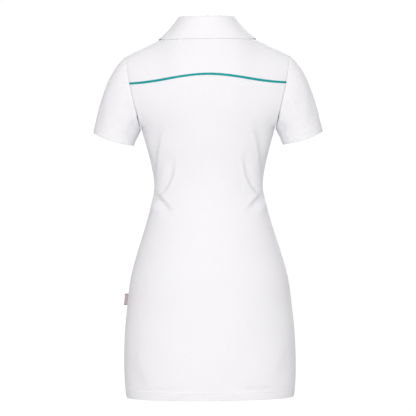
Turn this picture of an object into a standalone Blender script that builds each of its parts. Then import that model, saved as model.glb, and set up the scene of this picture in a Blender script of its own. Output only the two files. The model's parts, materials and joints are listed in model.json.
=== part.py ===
# A fitted polo dress with short sleeves, hollow and filled out as when worn.
# It is cut as a front, a yoke and a lower back with a piping between them, two
# sleeves, a collar with its stand, a placket with three buttons and a side label.
#
# Sizes are millimetres here and become metres when a mesh is made. +Z is up, the
# front faces -Y and the wearer's left is +X. The origin lies between the shoulder
# seams, where the wearer carries the dress.

import math

import bmesh
import bpy
from mathutils import Vector

MM = 0.001

# Cloth
CLOTH = 1.3              # knit wall
HEM_CLOTH = 2.4          # knit wall where it is turned up
COLLAR_CLOTH = 1.8       # two layers of knit
SEAM_GAP = 0.3           # between two pieces that are sewn together

# Main sizes of the body
HEM_Z = -855.0
HEM_DEPTH = 22.0
HEM_STEP = 1.0           # height over which the turned-up hem ends
ARMPIT_Z = -211.0
ARMPIT_X = 160.0
TIP_X = 195.0            # shoulder tip, the top of the armhole
TIP_Z = -37.5
NECK_X = 70.0            # half width of the neck where the shoulder seam starts
NECK_Z = 30.0
NECK_FLARE = 8.0         # how much the shoulder seam curves up beside the neck
BACK_NECK_DEPTH = 64.0
BACK_NECK_DROP = 13.0
FRONT_NECK_DEPTH = 72.0
FRONT_NECK_DROP = 90.0
ARMHOLE_BACK = 58.0      # how far the armhole reaches behind the shoulder seam
ARMHOLE_FRONT = 54.0
ARMHOLE_FLARE = 1.5      # exponent of the armhole's curve from the armpit to the tip
ARMHOLE_OPENS = 0.38     # share of its height in which it reaches its full depth
UPPER_SQUARENESS = 2.6   # of the level sections above the armpit
ROUND_OVER = 2.4         # how squarely the cloth rounds over the shoulder seam
NECK_ROUND_BACK = 3.5    # the same beside the neck, behind
NECK_ROUND_FRONT = 6.0   # and in front
NECK_BLEND = 55.0        # width over which the one becomes the other

BACK = 1.0
FRONT = -1.0

# Level sections of the body, from the hem up to the neck. Depths are measured on the
# centre line, and squareness is the exponent of the rounded section.
SECTION_COLUMNS = ("height", "half_width", "back_depth", "front_depth", "squareness")
SECTIONS = (
    (-855.0, 200.0, 124.0, 116.0, 2.20),
    (-826.0, 203.8, 127.0, 118.0, 2.20),
    (-770.0, 205.6, 130.0, 119.0, 2.20),
    (-700.0, 203.2, 131.0, 119.0, 2.20),
    (-640.0, 197.5, 131.0, 118.0, 2.15),
    (-570.0, 188.4, 127.0, 114.0, 2.15),
    (-510.0, 172.2, 116.0, 107.0, 2.10),
    (-450.0, 153.2, 99.0, 98.0, 2.10),
    (-400.0, 139.5, 85.0, 92.0, 2.10),
    (-350.0, 129.8, 78.0, 90.0, 2.10),
    (-300.0, 136.6, 80.0, 97.0, 2.10),
    (-255.0, 147.8, 86.0, 110.0, 2.10),
    (-211.0, 160.0, 91.0, 116.0, 2.10),
    (-150.0, 172.0, 97.0, 104.0, 2.10),
    (-100.0, 185.0, 98.0, 90.0, 2.10),
    (-60.0, 192.0, 94.0, 74.0, 2.10),
    (-25.0, 195.0, 85.0, 47.0, 2.10),
    (5.0, 195.0, 73.0, 22.0, 2.10),
    (30.0, 195.0, 60.0, 6.0, 2.10),
)

# The seam that carries the piping: level behind the neck, lower at the armholes
YOKE_SEAM_Z = -87.0
YOKE_SEAM_FALL = 18.8
PIPING_HALF = 2.8        # half of its height on the back
PIPING_PROUD = 1.2

# Placket and buttons
PLACKET_HALF = 15.0
PLACKET_END_Z = -222.0
STRIP_CLOTH = 1.5
UNDER_STRIP_EXTRA = 8.0  # the under strip reaches this far past the slit
BUTTONS = (("button_top", -80.0), ("button_middle", -131.0), ("button_low", -182.0))
BUTTON_RADIUS = 5.6
BUTTON_THICK = 2.4

# Collar: where it folds over, and the edge of its leaf
FOLD_X = 61.2
FOLD_BACK_DEPTH = 57.0
FOLD_FRONT_DEPTH = 67.0
FOLD_Z = 55.8
FOLD_BACK_RISE = -4.2
FOLD_FRONT_FALL = 88.0
FOLD_ROLL = 7.0          # thickness of the folded edge
STAND_SHARE = 0.8        # the leaf is sewn to the stand this far up to the fold
LEAF_CLEAR = 4.5
LEAF_SAG = 2.5
# Edge of the leaf on the wearer's left, from the centre back round to the collar point
LEAF_EDGE_COLUMNS = ("angle", "x", "height")
LEAF_EDGE = (
    (0.0, 0.0, -2.5),
    (25.0, 45.0, -2.3),
    (50.0, 82.0, -2.6),
    (70.0, 103.0, -1.5),
    (82.0, 113.0, 1.5),
    (90.0, 116.0, 4.0),
    (98.0, 116.5, 2.0),
    (110.0, 114.0, -14.0),
    (130.0, 104.0, -40.0),
    (155.0, 76.0, -74.0),
    (172.0, 50.0, -96.0),
)

# Sleeves. The hem is an oval, given by its outer and inner ends in the shoulder plane.
SLEEVE_HEM_OUTER = (275.5, -221.5)
SLEEVE_HEM_INNER = (179.5, -252.5)
SLEEVE_HEM_HALF_DEPTH = 49.0
SLEEVE_HEM_SAG = 6.0     # the hem hangs this much lower behind and in front
# Shares of the way from the armhole down, the last three round the turned-up hem
SLEEVE_SHARES = (0.0, 0.06, 0.16, 0.28, 0.4, 0.53, 0.66, 0.78, 0.89, 0.895, 1.0)
SLEEVE_HEM_ROWS = 2

# Side label, a folded tape in the seam on the wearer's left
LABEL_TOP_Z = -607.0
LABEL_HEIGHT = 27.0
LABEL_OUT = 8.5
LABEL_CLOTH = 0.6

# Soft troughs that the nipped waist draws in the cloth. Each runs through three points.
CREASE_COLUMNS = ("side", "x1", "z1", "x2", "z2", "x3", "z3", "depth", "half_width")
CREASES = (
    (BACK, 80.0, -270.0, 92.0, -335.0, 124.0, -372.0, 4.0, 12.0),
    (BACK, 127.0, -376.0, 106.0, -390.0, 84.0, -414.0, 4.5, 11.0),
    (BACK, 107.0, -214.0, 119.0, -262.0, 124.0, -318.0, 3.0, 12.0),
    (BACK, -79.0, -268.0, -90.0, -330.0, -114.0, -366.0, 4.0, 12.0),
    (BACK, -128.0, -370.0, -108.0, -389.0, -86.0, -412.0, 4.5, 11.0),
    (BACK, -105.0, -206.0, -117.0, -262.0, -128.0, -340.0, 3.0, 12.0),
    (FRONT, 84.0, -262.0, 97.0, -322.0, 121.0, -362.0, 3.5, 12.0),
    (FRONT, 122.0, -372.0, 101.0, -391.0, 77.0, -420.0, 4.0, 11.0),
    (FRONT, -90.0, -256.0, -97.0, -316.0, -119.0, -352.0, 3.5, 12.0),
    (FRONT, -124.0, -364.0, -103.0, -386.0, -80.0, -408.0, 3.5, 11.0),
)
CREASE_FADE = 30.0       # creases end this far from the side seams

# Columns of every body panel, from the centre line to the side seam. The first ones
# are angles round the neck, so that collar and body share their points.
NECK_ANGLES = (0.0, math.degrees(math.asin(PLACKET_HALF / NECK_X)), 25.0, 37.0, 50.0,
               62.0, 75.0, 90.0)
SHOULDER_SHARES = (0.46, 0.56, 0.66, 0.75, 0.83, 0.895, 0.95, 0.983, 1.0)
LEAF_ANGLES = (0.0, NECK_ANGLES[1], 25.0, 37.0, 50.0, 62.0, 70.0, 76.0, 83.0, 90.0, 97.0,
               105.0, 113.0, 122.0, 132.0, 143.0, 155.0, 165.0, 172.0)

# Rows of the body panels: stretches up from the hem, finer where the waist creases
STRETCH_COLUMNS = ("up_to", "rows")
BACK_STRETCHES = ((-570.0, 6), (-450.0, 4), (-250.0, 13), (ARMPIT_Z, 2))
FRONT_STRETCHES = ((-565.0, 5), (-445.0, 3), (-265.0, 11), (PLACKET_END_Z, 2), (ARMPIT_Z, 1))
BELOW_SEAM_SHARES = (0.06, 0.2, 0.42, 0.7, 1.0)
YOKE_SHARES = (0.0, 0.3, 0.55, 0.74, 0.87, 0.94, 0.98, 1.0)
UPPER_FRONT_SHARES = (0.035, 0.12, 0.25, 0.4, 0.55, 0.69, 0.81, 0.9, 0.96, 0.985, 1.0)


def smooth_step(t):
    t = min(max(t, 0.0), 1.0)
    return t * t * (3.0 - 2.0 * t)


def mix(a, b, t):
    return a + (b - a) * t


def read_table(rows, columns, column, key):
    """Value of a column at a key, on a smooth curve through the table's rows."""
    place = columns.index(column)
    keys = [row[0] for row in rows]
    if key <= keys[0]:
        return rows[0][place]
    if key >= keys[-1]:
        return rows[-1][place]
    i = max(j for j in range(len(rows) - 1) if keys[j] <= key)
    span = keys[i + 1] - keys[i]
    t = (key - keys[i]) / span

    def slope(j):
        low, high = max(j - 1, 0), min(j + 1, len(rows) - 1)
        return (rows[high][place] - rows[low][place]) / (keys[high] - keys[low])

    start, end = rows[i][place], rows[i + 1][place]
    return ((2 * t**3 - 3 * t**2 + 1) * start + (t**3 - 2 * t**2 + t) * span * slope(i)
            + (3 * t**2 - 2 * t**3) * end + (t**3 - t**2) * span * slope(i + 1))


def section(column, z):
    return read_table(SECTIONS, SECTION_COLUMNS, column, z)


# Form of the body. A place on it is a side (back or front), a share of the half width
# from 0 on the centre line to 1 at the side seam or armhole, and a height.

def neck_angle_cosine(share):
    x = share * TIP_X
    return math.sqrt(max(0.0, 1.0 - (x / NECK_X)**2))


def top_z(side, share):
    """Height of the neck edge or of the shoulder seam."""
    x = share * TIP_X
    if x < NECK_X:
        drop = BACK_NECK_DROP if side == BACK else FRONT_NECK_DROP
        return NECK_Z - drop * neck_angle_cosine(share)
    reach = (TIP_X - x) / (TIP_X - NECK_X)
    return TIP_Z + (NECK_Z - TIP_Z - NECK_FLARE) * reach + NECK_FLARE * reach**6


def top_depth(side, share, up):
    """Depth that the neck edge gives the cloth below it, softer further down."""
    depth = BACK_NECK_DEPTH if side == BACK else FRONT_NECK_DEPTH
    soft = 1.0 - smooth_step(share * TIP_X / (1.5 * NECK_X))
    return depth * mix(soft, neck_angle_cosine(share), up**12)


def rise(side, share, z):
    """0 at the armpit's level and 1 at the neck edge or shoulder seam."""
    return min(max((z - ARMPIT_Z) / (top_z(side, share) - ARMPIT_Z), 0.0), 1.0)


def half_width(side, share, z):
    if z <= ARMPIT_Z:
        return section("half_width", z)
    return mix(TIP_X, ARMPIT_X, (1.0 - rise(side, share, z))**ARMHOLE_FLARE)


def body_point(side, share, z):
    """Point of the body's outer surface on the wearer's left, without creases."""
    depth = section("back_depth" if side == BACK else "front_depth", z)
    square = section("squareness", z)
    oval = (1.0 - share**square)**(1.0 / square)
    x = share * half_width(side, share, z)
    if z <= ARMPIT_Z:
        return Vector((x, side * depth * oval, z))
    up = rise(side, share, z)
    armhole = ARMHOLE_BACK if side == BACK else ARMHOLE_FRONT
    edge = armhole * math.sqrt(1.0 - (1.0 - min(up / ARMHOLE_OPENS, 1.0))**2)
    flat = mix(oval, 1.0 - share**UPPER_SQUARENESS, smooth_step(up / ARMHOLE_OPENS))
    level = edge + (depth - edge) * flat
    bend = mix(NECK_ROUND_BACK if side == BACK else NECK_ROUND_FRONT, ROUND_OVER,
               smooth_step((share * TIP_X - NECK_X) / NECK_BLEND))
    round_over = (1.0 - up**bend)**(1.0 / bend)
    return Vector((x, side * mix(top_depth(side, share, up), level, round_over), z))


def share_at(side, x, z):
    """Share of the half width at which the body has this x at this height."""
    share = x / TIP_X
    for _ in range(4):
        share = x / half_width(side, share, z)
    return min(share, 1.0)


def body_depth(side, x, z):
    return body_point(side, share_at(side, abs(x), z), z).y


def body_normal(side, share, z):
    """Outward direction of the body's surface."""
    step = 0.4
    low, high = max(share - 0.01, 0.0), min(share + 0.01, 1.0)
    across = body_point(side, high, z) - body_point(side, low, z)
    upward = body_point(side, share, z + step) - body_point(side, share, z - step)
    normal = across.cross(upward).normalized()
    return -normal if normal.y * side < 0 else normal


def yoke_seam_z(share):
    return YOKE_SEAM_Z - YOKE_SEAM_FALL * smooth_step(share)


def distance_to_crease(x, z, crease):
    """Nearest distance to a crease's curve, and the share of its length there."""
    best = (1e9, 0.0)
    steps = 16
    for i in range(steps + 1):
        t = i / steps
        # A curve that starts and ends at the outer points and passes the middle one
        first, middle, last = (1 - t) * (1 - 2 * t), 4 * t * (1 - t), t * (2 * t - 1)
        cx = first * crease["x1"] + middle * crease["x2"] + last * crease["x3"]
        cz = first * crease["z1"] + middle * crease["z2"] + last * crease["z3"]
        best = min(best, (math.hypot(x - cx, z - cz), t))
    return best


def crease_depth(side, x, z):
    total = 0.0
    for row in CREASES:
        crease = dict(zip(CREASE_COLUMNS, row))
        if crease["side"] != side:
            continue
        away, along = distance_to_crease(x, z, crease)
        fade = math.sin(math.pi * min(max(along, 0.04), 0.96))**0.6
        total += crease["depth"] * fade * math.exp(-(away / crease["half_width"])**2)
    return total


# Grids of points, row by row, and the walls made from them

def row_heights(stretches):
    """Heights of a panel's rows from the hem up, through each stretch in turn."""
    heights = [HEM_Z, HEM_Z + HEM_DEPTH, HEM_Z + HEM_DEPTH + HEM_STEP]
    for row in stretches:
        stretch = dict(zip(STRETCH_COLUMNS, row))
        start, count = heights[-1], stretch["rows"]
        heights += [mix(start, stretch["up_to"], i / count) for i in range(1, count)]
        heights.append(stretch["up_to"])
    return heights


LOWER_BACK_ROWS = row_heights(BACK_STRETCHES)
LOWER_FRONT_ROWS = row_heights(FRONT_STRETCHES)


def column_shares():
    shares = [NECK_X * math.sin(math.radians(angle)) / TIP_X for angle in NECK_ANGLES]
    return shares + list(SHOULDER_SHARES)


def mirrored(half_row):
    """A whole row from the wearer's right to left, from its left half."""
    right = [Vector((-p.x, p.y, p.z)) for p in reversed(half_row[1:])]
    return right + half_row


def panel_grid(side, heights):
    """Whole panel. heights(share) lists the heights of its rows at that share."""
    columns = column_shares()
    rows = []
    for r in range(len(heights(0.0))):
        half = []
        for c, share in enumerate(columns):
            z = heights(share)[r]
            if c == 1:
                share = share_at(side, PLACKET_HALF, z)
            p = body_point(side, share, z)
            p.y += side * SEAM_GAP / 2
            half.append(p)
        rows.append(mirrored(half))
    return press_creases(side, rows)


def press_creases(side, rows):
    """Sinks the creases into a panel, fading out towards the side seams."""
    normals = grid_normals(rows)
    pressed = []
    for row, normal_row in zip(rows, normals):
        pressed.append([])
        for p, n in zip(row, normal_row):
            inward = -n if n.y * side > 0 else n
            fade = smooth_step((abs(p.y) - 2.0) / CREASE_FADE)
            pressed[-1].append(p + inward * crease_depth(side, p.x, p.z) * fade)
    return pressed


def grid_normals(grid, ring=False):
    """Outward normal at each point, from the faces round it."""
    count = len(grid[0])
    normals = [[Vector() for _ in row] for row in grid]
    last = count if ring else count - 1
    for r in range(len(grid) - 1):
        for c in range(last):
            d = (c + 1) % count
            corners = ((r, c), (r, d), (r + 1, d), (r + 1, c))
            a, b, e, f = [grid[i][j] for i, j in corners]
            normal = (e - a).cross(f - b)
            if normal.length > 0:
                normal.normalize()
            for i, j in corners:
                normals[i][j] += normal
    for row in normals:
        for n in row:
            n.normalize()
    return normals


def flatten_at_seams(grid, normals):
    """Along the side and shoulder seams a panel's edge faces its neighbour squarely."""
    for row, normal_row in zip(grid, normals):
        for p, n in zip(row, normal_row):
            if abs(p.y) < SEAM_GAP:
                n.y = 0.0
                n.normalize()


def inner_grid(grid, normals, thickness):
    """The inside of a wall. thickness(r, c) is the wall's thickness at each point."""
    return [[p - n * thickness(r, c) for c, (p, n) in enumerate(zip(row, normal_row))]
            for r, (row, normal_row) in enumerate(zip(grid, normals))]


def material(name, colour, roughness):
    made = bpy.data.materials.new(name)
    made.use_nodes = True
    shader = made.node_tree.nodes["Principled BSDF"]
    shader.inputs["Base Color"].default_value = (*colour, 1.0)
    shader.inputs["Roughness"].default_value = roughness
    shader.inputs["Metallic"].default_value = 0.0
    return made


def add_object(name, mesh, made, smooth=True):
    item = bpy.data.objects.new(name, mesh)
    mesh.materials.append(made)
    if smooth:
        mesh.shade_smooth()
        mesh.set_sharp_from_angle(angle=math.radians(50))
    bpy.data.collections["polo_dress"].objects.link(item)
    return item


def wall(name, outer, inner, made, ring=False, keep=None):
    """A closed wall between two matching grids, with a rim round every open edge."""
    rows, count = len(outer), len(outer[0])
    last = count if ring else count - 1
    kept = {(r, c) for r in range(rows - 1) for c in range(last)
            if keep is None or keep(r, c)}
    bm = bmesh.new()
    made_points = {}

    def corner(layer, r, c):
        key = (layer, r, c % count)
        if key not in made_points:
            grid = outer if layer == 0 else inner
            made_points[key] = bm.verts.new(grid[r][c % count] * MM)
        return made_points[key]

    def face(*corners):
        bm.faces.new([corner(*k) for k in corners])

    def is_kept(r, c):
        return (r, c % count if ring else c) in kept

    for r, c in sorted(kept):
        face((0, r, c), (0, r, c + 1), (0, r + 1, c + 1), (0, r + 1, c))
        face((1, r + 1, c), (1, r + 1, c + 1), (1, r, c + 1), (1, r, c))
        if not is_kept(r - 1, c):
            face((0, r, c + 1), (0, r, c), (1, r, c), (1, r, c + 1))
        if not is_kept(r + 1, c):
            face((0, r + 1, c), (0, r + 1, c + 1), (1, r + 1, c + 1), (1, r + 1, c))
        if not is_kept(r, c - 1):
            face((0, r, c), (0, r + 1, c), (1, r + 1, c), (1, r, c))
        if not is_kept(r, c + 1):
            face((0, r + 1, c + 1), (0, r, c + 1), (1, r, c + 1), (1, r + 1, c + 1))
    bmesh.ops.recalc_face_normals(bm, faces=bm.faces)
    mesh = bpy.data.meshes.new(name)
    bm.to_mesh(mesh)
    bm.free()
    return add_object(name, mesh, made)


# Body panels

def back_heights(share):
    top = yoke_seam_z(share) - PIPING_HALF - SEAM_GAP
    return LOWER_BACK_ROWS + [mix(ARMPIT_Z, top, t) for t in BELOW_SEAM_SHARES]


def yoke_heights(share):
    low = yoke_seam_z(share) + PIPING_HALF + SEAM_GAP
    return [mix(low, top_z(BACK, share), t) for t in YOKE_SHARES]


def front_heights(share):
    return LOWER_FRONT_ROWS + [mix(ARMPIT_Z, top_z(FRONT, share), t)
                               for t in UPPER_FRONT_SHARES]


def body_wall(name, side, heights, made, keep=None):
    grid = panel_grid(side, heights)
    normals = grid_normals(grid)
    if side == BACK:
        normals = [[-n for n in row] for row in normals]
    flatten_at_seams(grid, normals)
    hem_rows = sum(1 for z in heights(0.0) if z <= HEM_Z + HEM_DEPTH)

    def thickness(r, c):
        return HEM_CLOTH if r < hem_rows else CLOTH

    wall(name, grid, inner_grid(grid, normals, thickness), made, keep=keep)
    return grid, normals


def make_front(made):
    columns = 2 * len(column_shares()) - 1
    centre = columns // 2
    slit_row = LOWER_FRONT_ROWS.index(PLACKET_END_Z)

    def outside_slit(r, c):
        return r < slit_row or c not in (centre - 1, centre)

    return body_wall("front_panel", FRONT, front_heights, made, keep=outside_slit)


# Piping

def make_piping(made):
    """A cord with an oval section that fills the gap between yoke and lower back."""
    columns = column_shares()
    rings = []
    corners = 8
    step = 2.0
    for share in columns:
        z = yoke_seam_z(share)
        middle = body_point(BACK, share, z)
        along = body_point(BACK, share, z + step) - body_point(BACK, share, z - step)
        beside = (body_point(BACK, min(share + 0.01, 1.0), yoke_seam_z(min(share + 0.01, 1.0)))
                  - body_point(BACK, max(share - 0.01, 0.0), yoke_seam_z(max(share - 0.01, 0.0))))
        up = along.normalized()
        out = up.cross(beside).normalized()
        out = -out if out.y < 0 else out
        middle.y += SEAM_GAP / 2
        ring = []
        for i in range(corners):
            angle = 2 * math.pi * (i + 0.5) / corners
            high = PIPING_HALF * math.cos(angle) / math.cos(math.pi / corners)
            deep = math.sin(angle) * (CLOTH + PIPING_PROUD) / 2
            ring.append(middle + up * high + out * (deep + PIPING_PROUD - CLOTH / 2))
        rings.append(ring)
    other = [[Vector((-p.x, p.y, p.z)) for p in ring] for ring in reversed(rings[1:])]
    bm = bmesh.new()
    points = [[bm.verts.new(p * MM) for p in ring] for ring in other + rings]
    for a, b in zip(points, points[1:]):
        for i in range(corners):
            j = (i + 1) % corners
            bm.faces.new((a[i], a[j], b[j], b[i]))
    bm.faces.new(points[0])
    bm.faces.new(points[-1])
    bmesh.ops.recalc_face_normals(bm, faces=bm.faces)
    mesh = bpy.data.meshes.new("piping")
    bm.to_mesh(mesh)
    bm.free()
    add_object("piping", mesh, made)


# Sleeves

def armhole_ring(panels):
    """Points and outward normals round the left armhole, from the tip over the back."""
    (back, back_n), (yoke, yoke_n), (front, front_n) = panels
    first_back = len(LOWER_BACK_ROWS) - 1
    first_front = len(LOWER_FRONT_ROWS) - 1
    down_back = [(row[-1], n[-1]) for row, n in zip(yoke, yoke_n)][::-1]
    down_back += [(row[-1], n[-1])
                  for row, n in zip(back[first_back:], back_n[first_back:])][::-1]
    up_front = [(row[-1], n[-1])
                for row, n in zip(front[first_front:], front_n[first_front:])]
    ring = down_back + up_front[1:-1]
    # The tip and the armpit are shared by front and back
    ring[0][0].y = 0.0
    ring[len(down_back) - 1][0].y = 0.0
    return [(p.copy(), n.copy()) for p, n in ring], len(down_back) - 1


def ring_angles(ring, armpit):
    """Angle of each ring point: 0 at the tip, a half turn at the armpit."""
    points = [p for p, _ in ring]
    closed = points + [points[0]]
    steps = [(b - a).length for a, b in zip(closed, closed[1:])]
    back_length = sum(steps[:armpit])
    front_length = sum(steps[armpit:])
    angles = []
    for i in range(len(points)):
        if i <= armpit:
            angles.append(math.pi * sum(steps[:i]) / back_length)
        else:
            angles.append(math.pi * (1 + sum(steps[armpit:i]) / front_length))
    return angles


def sleeve_hem_point(angle):
    outer = Vector((SLEEVE_HEM_OUTER[0], 0.0, SLEEVE_HEM_OUTER[1]))
    inner = Vector((SLEEVE_HEM_INNER[0], 0.0, SLEEVE_HEM_INNER[1]))
    reach = (outer - inner) / 2
    deep = SLEEVE_HEM_HALF_DEPTH * math.sin(angle)
    low = -SLEEVE_HEM_SAG * math.sin(angle)**2
    return (outer + inner) / 2 + reach * math.cos(angle) + Vector((0.0, deep, low))


def sleeve_point(start, angle, t):
    """Point at share t of the way from the armhole to the hem."""
    end = sleeve_hem_point(angle)
    top = (1 + math.cos(angle)) / 2
    leave = mix(Vector((0.45, 0.0, -0.89)), Vector((0.80, 0.0, -0.60)), top).normalized()
    arrive = mix(Vector((0.40, 0.0, -0.92)), Vector((0.22, 0.0, -0.97)), top).normalized()
    one = start + leave * mix(14.0, 54.0, top**0.8)
    two = end - arrive * mix(14.0, 72.0, top**0.8)
    one.y *= 1.06
    two.y *= 1.04
    s = 1 - t
    return start * s**3 + one * 3 * s * s * t + two * 3 * s * t * t + end * t**3


def make_sleeves(made, panels):
    ring, armpit = armhole_ring(panels)
    angles = ring_angles(ring, armpit)
    grid = []
    for r, t in enumerate(SLEEVE_SHARES):
        row = []
        for (p, n), angle in zip(ring, angles):
            ahead = (sleeve_point(p, angle, 0.05) - p).normalized()
            start = p + ahead * 0.25 + n * 0.2
            row.append(sleeve_point(start, angle, t))
        grid.append(row)
    normals = grid_normals(grid, ring=True)
    middle = sum(grid[4], Vector()) / len(grid[4])
    if normals[4][0].dot(grid[4][0] - middle) < 0:
        normals = [[-n for n in row] for row in normals]
    # Where the seam is a ridge, the sleeve's edge lies along the body's edge
    for c, (p, n) in enumerate(ring):
        before, after = ring[c - 1][0], ring[(c + 1) % len(ring)][0]
        off_body = (after - before).cross(n).normalized()
        if off_body.dot(grid[1][c] - grid[0][c]) < 0:
            off_body.negate()
        lean = normals[0][c].dot(off_body)
        if lean > 0:
            normals[0][c] = (normals[0][c] - off_body * lean).normalized()

    def thickness(r, c):
        return HEM_CLOTH if r >= len(SLEEVE_SHARES) - SLEEVE_HEM_ROWS else CLOTH

    inner = inner_grid(grid, normals, thickness)
    wall("sleeve_left", grid, inner, made, ring=True)
    flip = [[[Vector((-p.x, p.y, p.z)) for p in row] for row in g] for g in (grid, inner)]
    wall("sleeve_right", flip[0], flip[1], made, ring=True)
    return grid


# Collar

def neck_point(angle):
    """Neck seam at an angle from the centre back, on the wearer's left."""
    s, c = math.sin(math.radians(angle)), math.cos(math.radians(angle))
    if c >= 0:
        return Vector((NECK_X * s, BACK_NECK_DEPTH * c, NECK_Z - BACK_NECK_DROP * c))
    return Vector((NECK_X * s, FRONT_NECK_DEPTH * c, NECK_Z + FRONT_NECK_DROP * c))


def fold_point(angle):
    s, c = math.sin(math.radians(angle)), math.cos(math.radians(angle))
    if c >= 0:
        return Vector((FOLD_X * s, FOLD_BACK_DEPTH * c, FOLD_Z + FOLD_BACK_RISE * c))
    return Vector((FOLD_X * s, FOLD_FRONT_DEPTH * c, FOLD_Z + FOLD_FRONT_FALL * c))


def outward(angle):
    return Vector((math.sin(math.radians(angle)), math.cos(math.radians(angle)), 0.0))


def leaf_edge_point(angle):
    """Edge of the leaf, lying just clear of the body."""
    x = read_table(LEAF_EDGE, LEAF_EDGE_COLUMNS, "x", angle)
    z = read_table(LEAF_EDGE, LEAF_EDGE_COLUMNS, "height", angle)
    side = BACK if angle <= 90.0 else FRONT
    share = share_at(side, x, z)
    z = min(z, top_z(side, share) - 0.5)
    return body_point(side, share, z) + body_normal(side, share, z) * LEAF_CLEAR


def stand_angles():
    front = [180.0 - a for a in reversed(NECK_ANGLES[1:-1])]
    return list(NECK_ANGLES) + front + [179.65]


def make_stand(made):
    grid = []
    for share in (0.0, 0.5, 1.0):
        half = []
        for angle in stand_angles():
            low, high = neck_point(angle), fold_point(angle)
            low.z += 3 * SEAM_GAP
            half.append(mix(low, mix(low, high, STAND_SHARE), share))
        grid.append(mirrored(half))
    inner = [[p - outward_at(p) * COLLAR_CLOTH for p in row] for row in grid]
    wall("collar_stand", grid, inner, made)


def outward_at(p):
    flat = Vector((p.x / NECK_X, p.y / BACK_NECK_DEPTH, 0.0))
    return flat.normalized()


def leaf_profile(angle):
    """Points across the leaf, from its seam inside the neck over the fold to its edge."""
    low, high = neck_point(angle), fold_point(angle)
    out = outward(angle)
    seam = mix(low, high, STAND_SHARE)
    up = (high - seam).normalized()
    fall = high + out * FOLD_ROLL - Vector((0.0, 0.0, 1.8))
    edge = leaf_edge_point(angle)
    profile = [seam + up * 3 * SEAM_GAP - out * COLLAR_CLOTH,
               high - up * 2.6 - out * COLLAR_CLOTH,
               high - out * 0.9 + up * 0.6,
               high + out * 1.8 + Vector((0.0, 0.0, 1.6)),
               high + out * (FOLD_ROLL - 2.0) + Vector((0.0, 0.0, 0.9))]
    lift = (out + Vector((0.0, 0.0, 0.7))).normalized()
    sag = LEAF_SAG * math.sin(math.radians(angle))**4
    for t in (0.0, 0.12, 0.3, 0.5, 0.7, 0.87, 1.0):
        profile.append(mix(fall, edge, t) - lift * sag * math.sin(math.pi * t))
    return profile


def make_leaf(made):
    profiles = [leaf_profile(angle) for angle in LEAF_ANGLES]
    grid = [mirrored([profile[r] for profile in profiles]) for r in range(len(profiles[0]))]
    normals = grid_normals(grid)
    centre = len(grid[0]) // 2
    if normals[-3][centre].y < 0:
        normals = [[-n for n in row] for row in normals]
    inner = inner_grid(grid, normals, lambda r, c: COLLAR_CLOTH)
    wall("collar_leaf", grid, inner, made)


# Placket and buttons

def strip_grid(from_x, to_x, raised, short=2 * SEAM_GAP):
    """A strip on the front's own points, moved out, its top end short of the neck."""
    start = LOWER_FRONT_ROWS.index(PLACKET_END_Z)
    heights = front_heights(0.0)[start:]
    heights[0] += SEAM_GAP
    across = (from_x, -PLACKET_HALF / 3, PLACKET_HALF / 3, to_x)
    grid = []
    for r, z in enumerate(heights):
        row = []
        for x in across:
            if r > 1:
                z = mix(ARMPIT_Z, top_z(FRONT, abs(x) / TIP_X) - short,
                        UPPER_FRONT_SHARES[r - 2])
            row.append(Vector((x, body_depth(FRONT, x, z) - SEAM_GAP / 2, z)))
        grid.append(row)
    normals = grid_normals(grid)
    if normals[0][0].y > 0:
        normals = [[-n for n in row] for row in normals]
    return [[p + n * raised for p, n in zip(row, normal_row)]
            for row, normal_row in zip(grid, normals)], normals


def make_placket(made):
    edge = PLACKET_HALF - SEAM_GAP
    upper, normals = strip_grid(-edge, edge, SEAM_GAP)
    wall("placket_upper", upper, inner_grid(upper, normals, lambda r, c: STRIP_CLOTH), made)
    under, normals = strip_grid(-edge, edge + UNDER_STRIP_EXTRA, -CLOTH - 2 * SEAM_GAP, 4.0)
    wall("placket_under", under, inner_grid(under, normals, lambda r, c: STRIP_CLOTH), made)


def make_buttons(made):
    for name, z in BUTTONS:
        slope = body_depth(FRONT, 0.0, z + 5.0) - body_depth(FRONT, 0.0, z - 5.0)
        normal = Vector((0.0, -10.0, slope)).normalized()
        surface = Vector((0.0, body_depth(FRONT, 0.0, z), z))
        rise_off = 3 * SEAM_GAP + BUTTON_THICK / 2
        bm = bmesh.new()
        bmesh.ops.create_cone(bm, cap_ends=True, segments=24, radius1=BUTTON_RADIUS * MM,
                              radius2=BUTTON_RADIUS * MM, depth=BUTTON_THICK * MM)
        mesh = bpy.data.meshes.new(name)
        bm.to_mesh(mesh)
        bm.free()
        button = add_object(name, mesh, made)
        button.rotation_mode = "QUATERNION"
        button.rotation_quaternion = normal.to_track_quat("Z", "Y")
        button.location = (surface + normal * rise_off) * MM
        bevel = button.modifiers.new("Rounded rim", "BEVEL")
        bevel.width = 0.6 * MM
        bevel.segments = 2


# Side label

def make_label(made):
    """Tape folded once, its ends in the side seam and its fold standing out."""
    rows = []
    for z in (LABEL_TOP_Z - LABEL_HEIGHT, LABEL_TOP_Z):
        start = section("half_width", z) + 0.4
        tip = start + LABEL_OUT
        rows.append([Vector((x, y, z)) for x, y in (
            (start, 2.4), (tip - 1.2, 2.4), (tip - 0.35, 2.05), (tip, 1.2),
            (tip - 0.35, 0.35), (tip - 1.2, 0.0), (start, 0.0))])
    normals = grid_normals(rows)
    if normals[0][3].x < 0:
        normals = [[-n for n in row] for row in normals]
    wall("side_label", rows, inner_grid(rows, normals, lambda r, c: LABEL_CLOTH), made)


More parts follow.
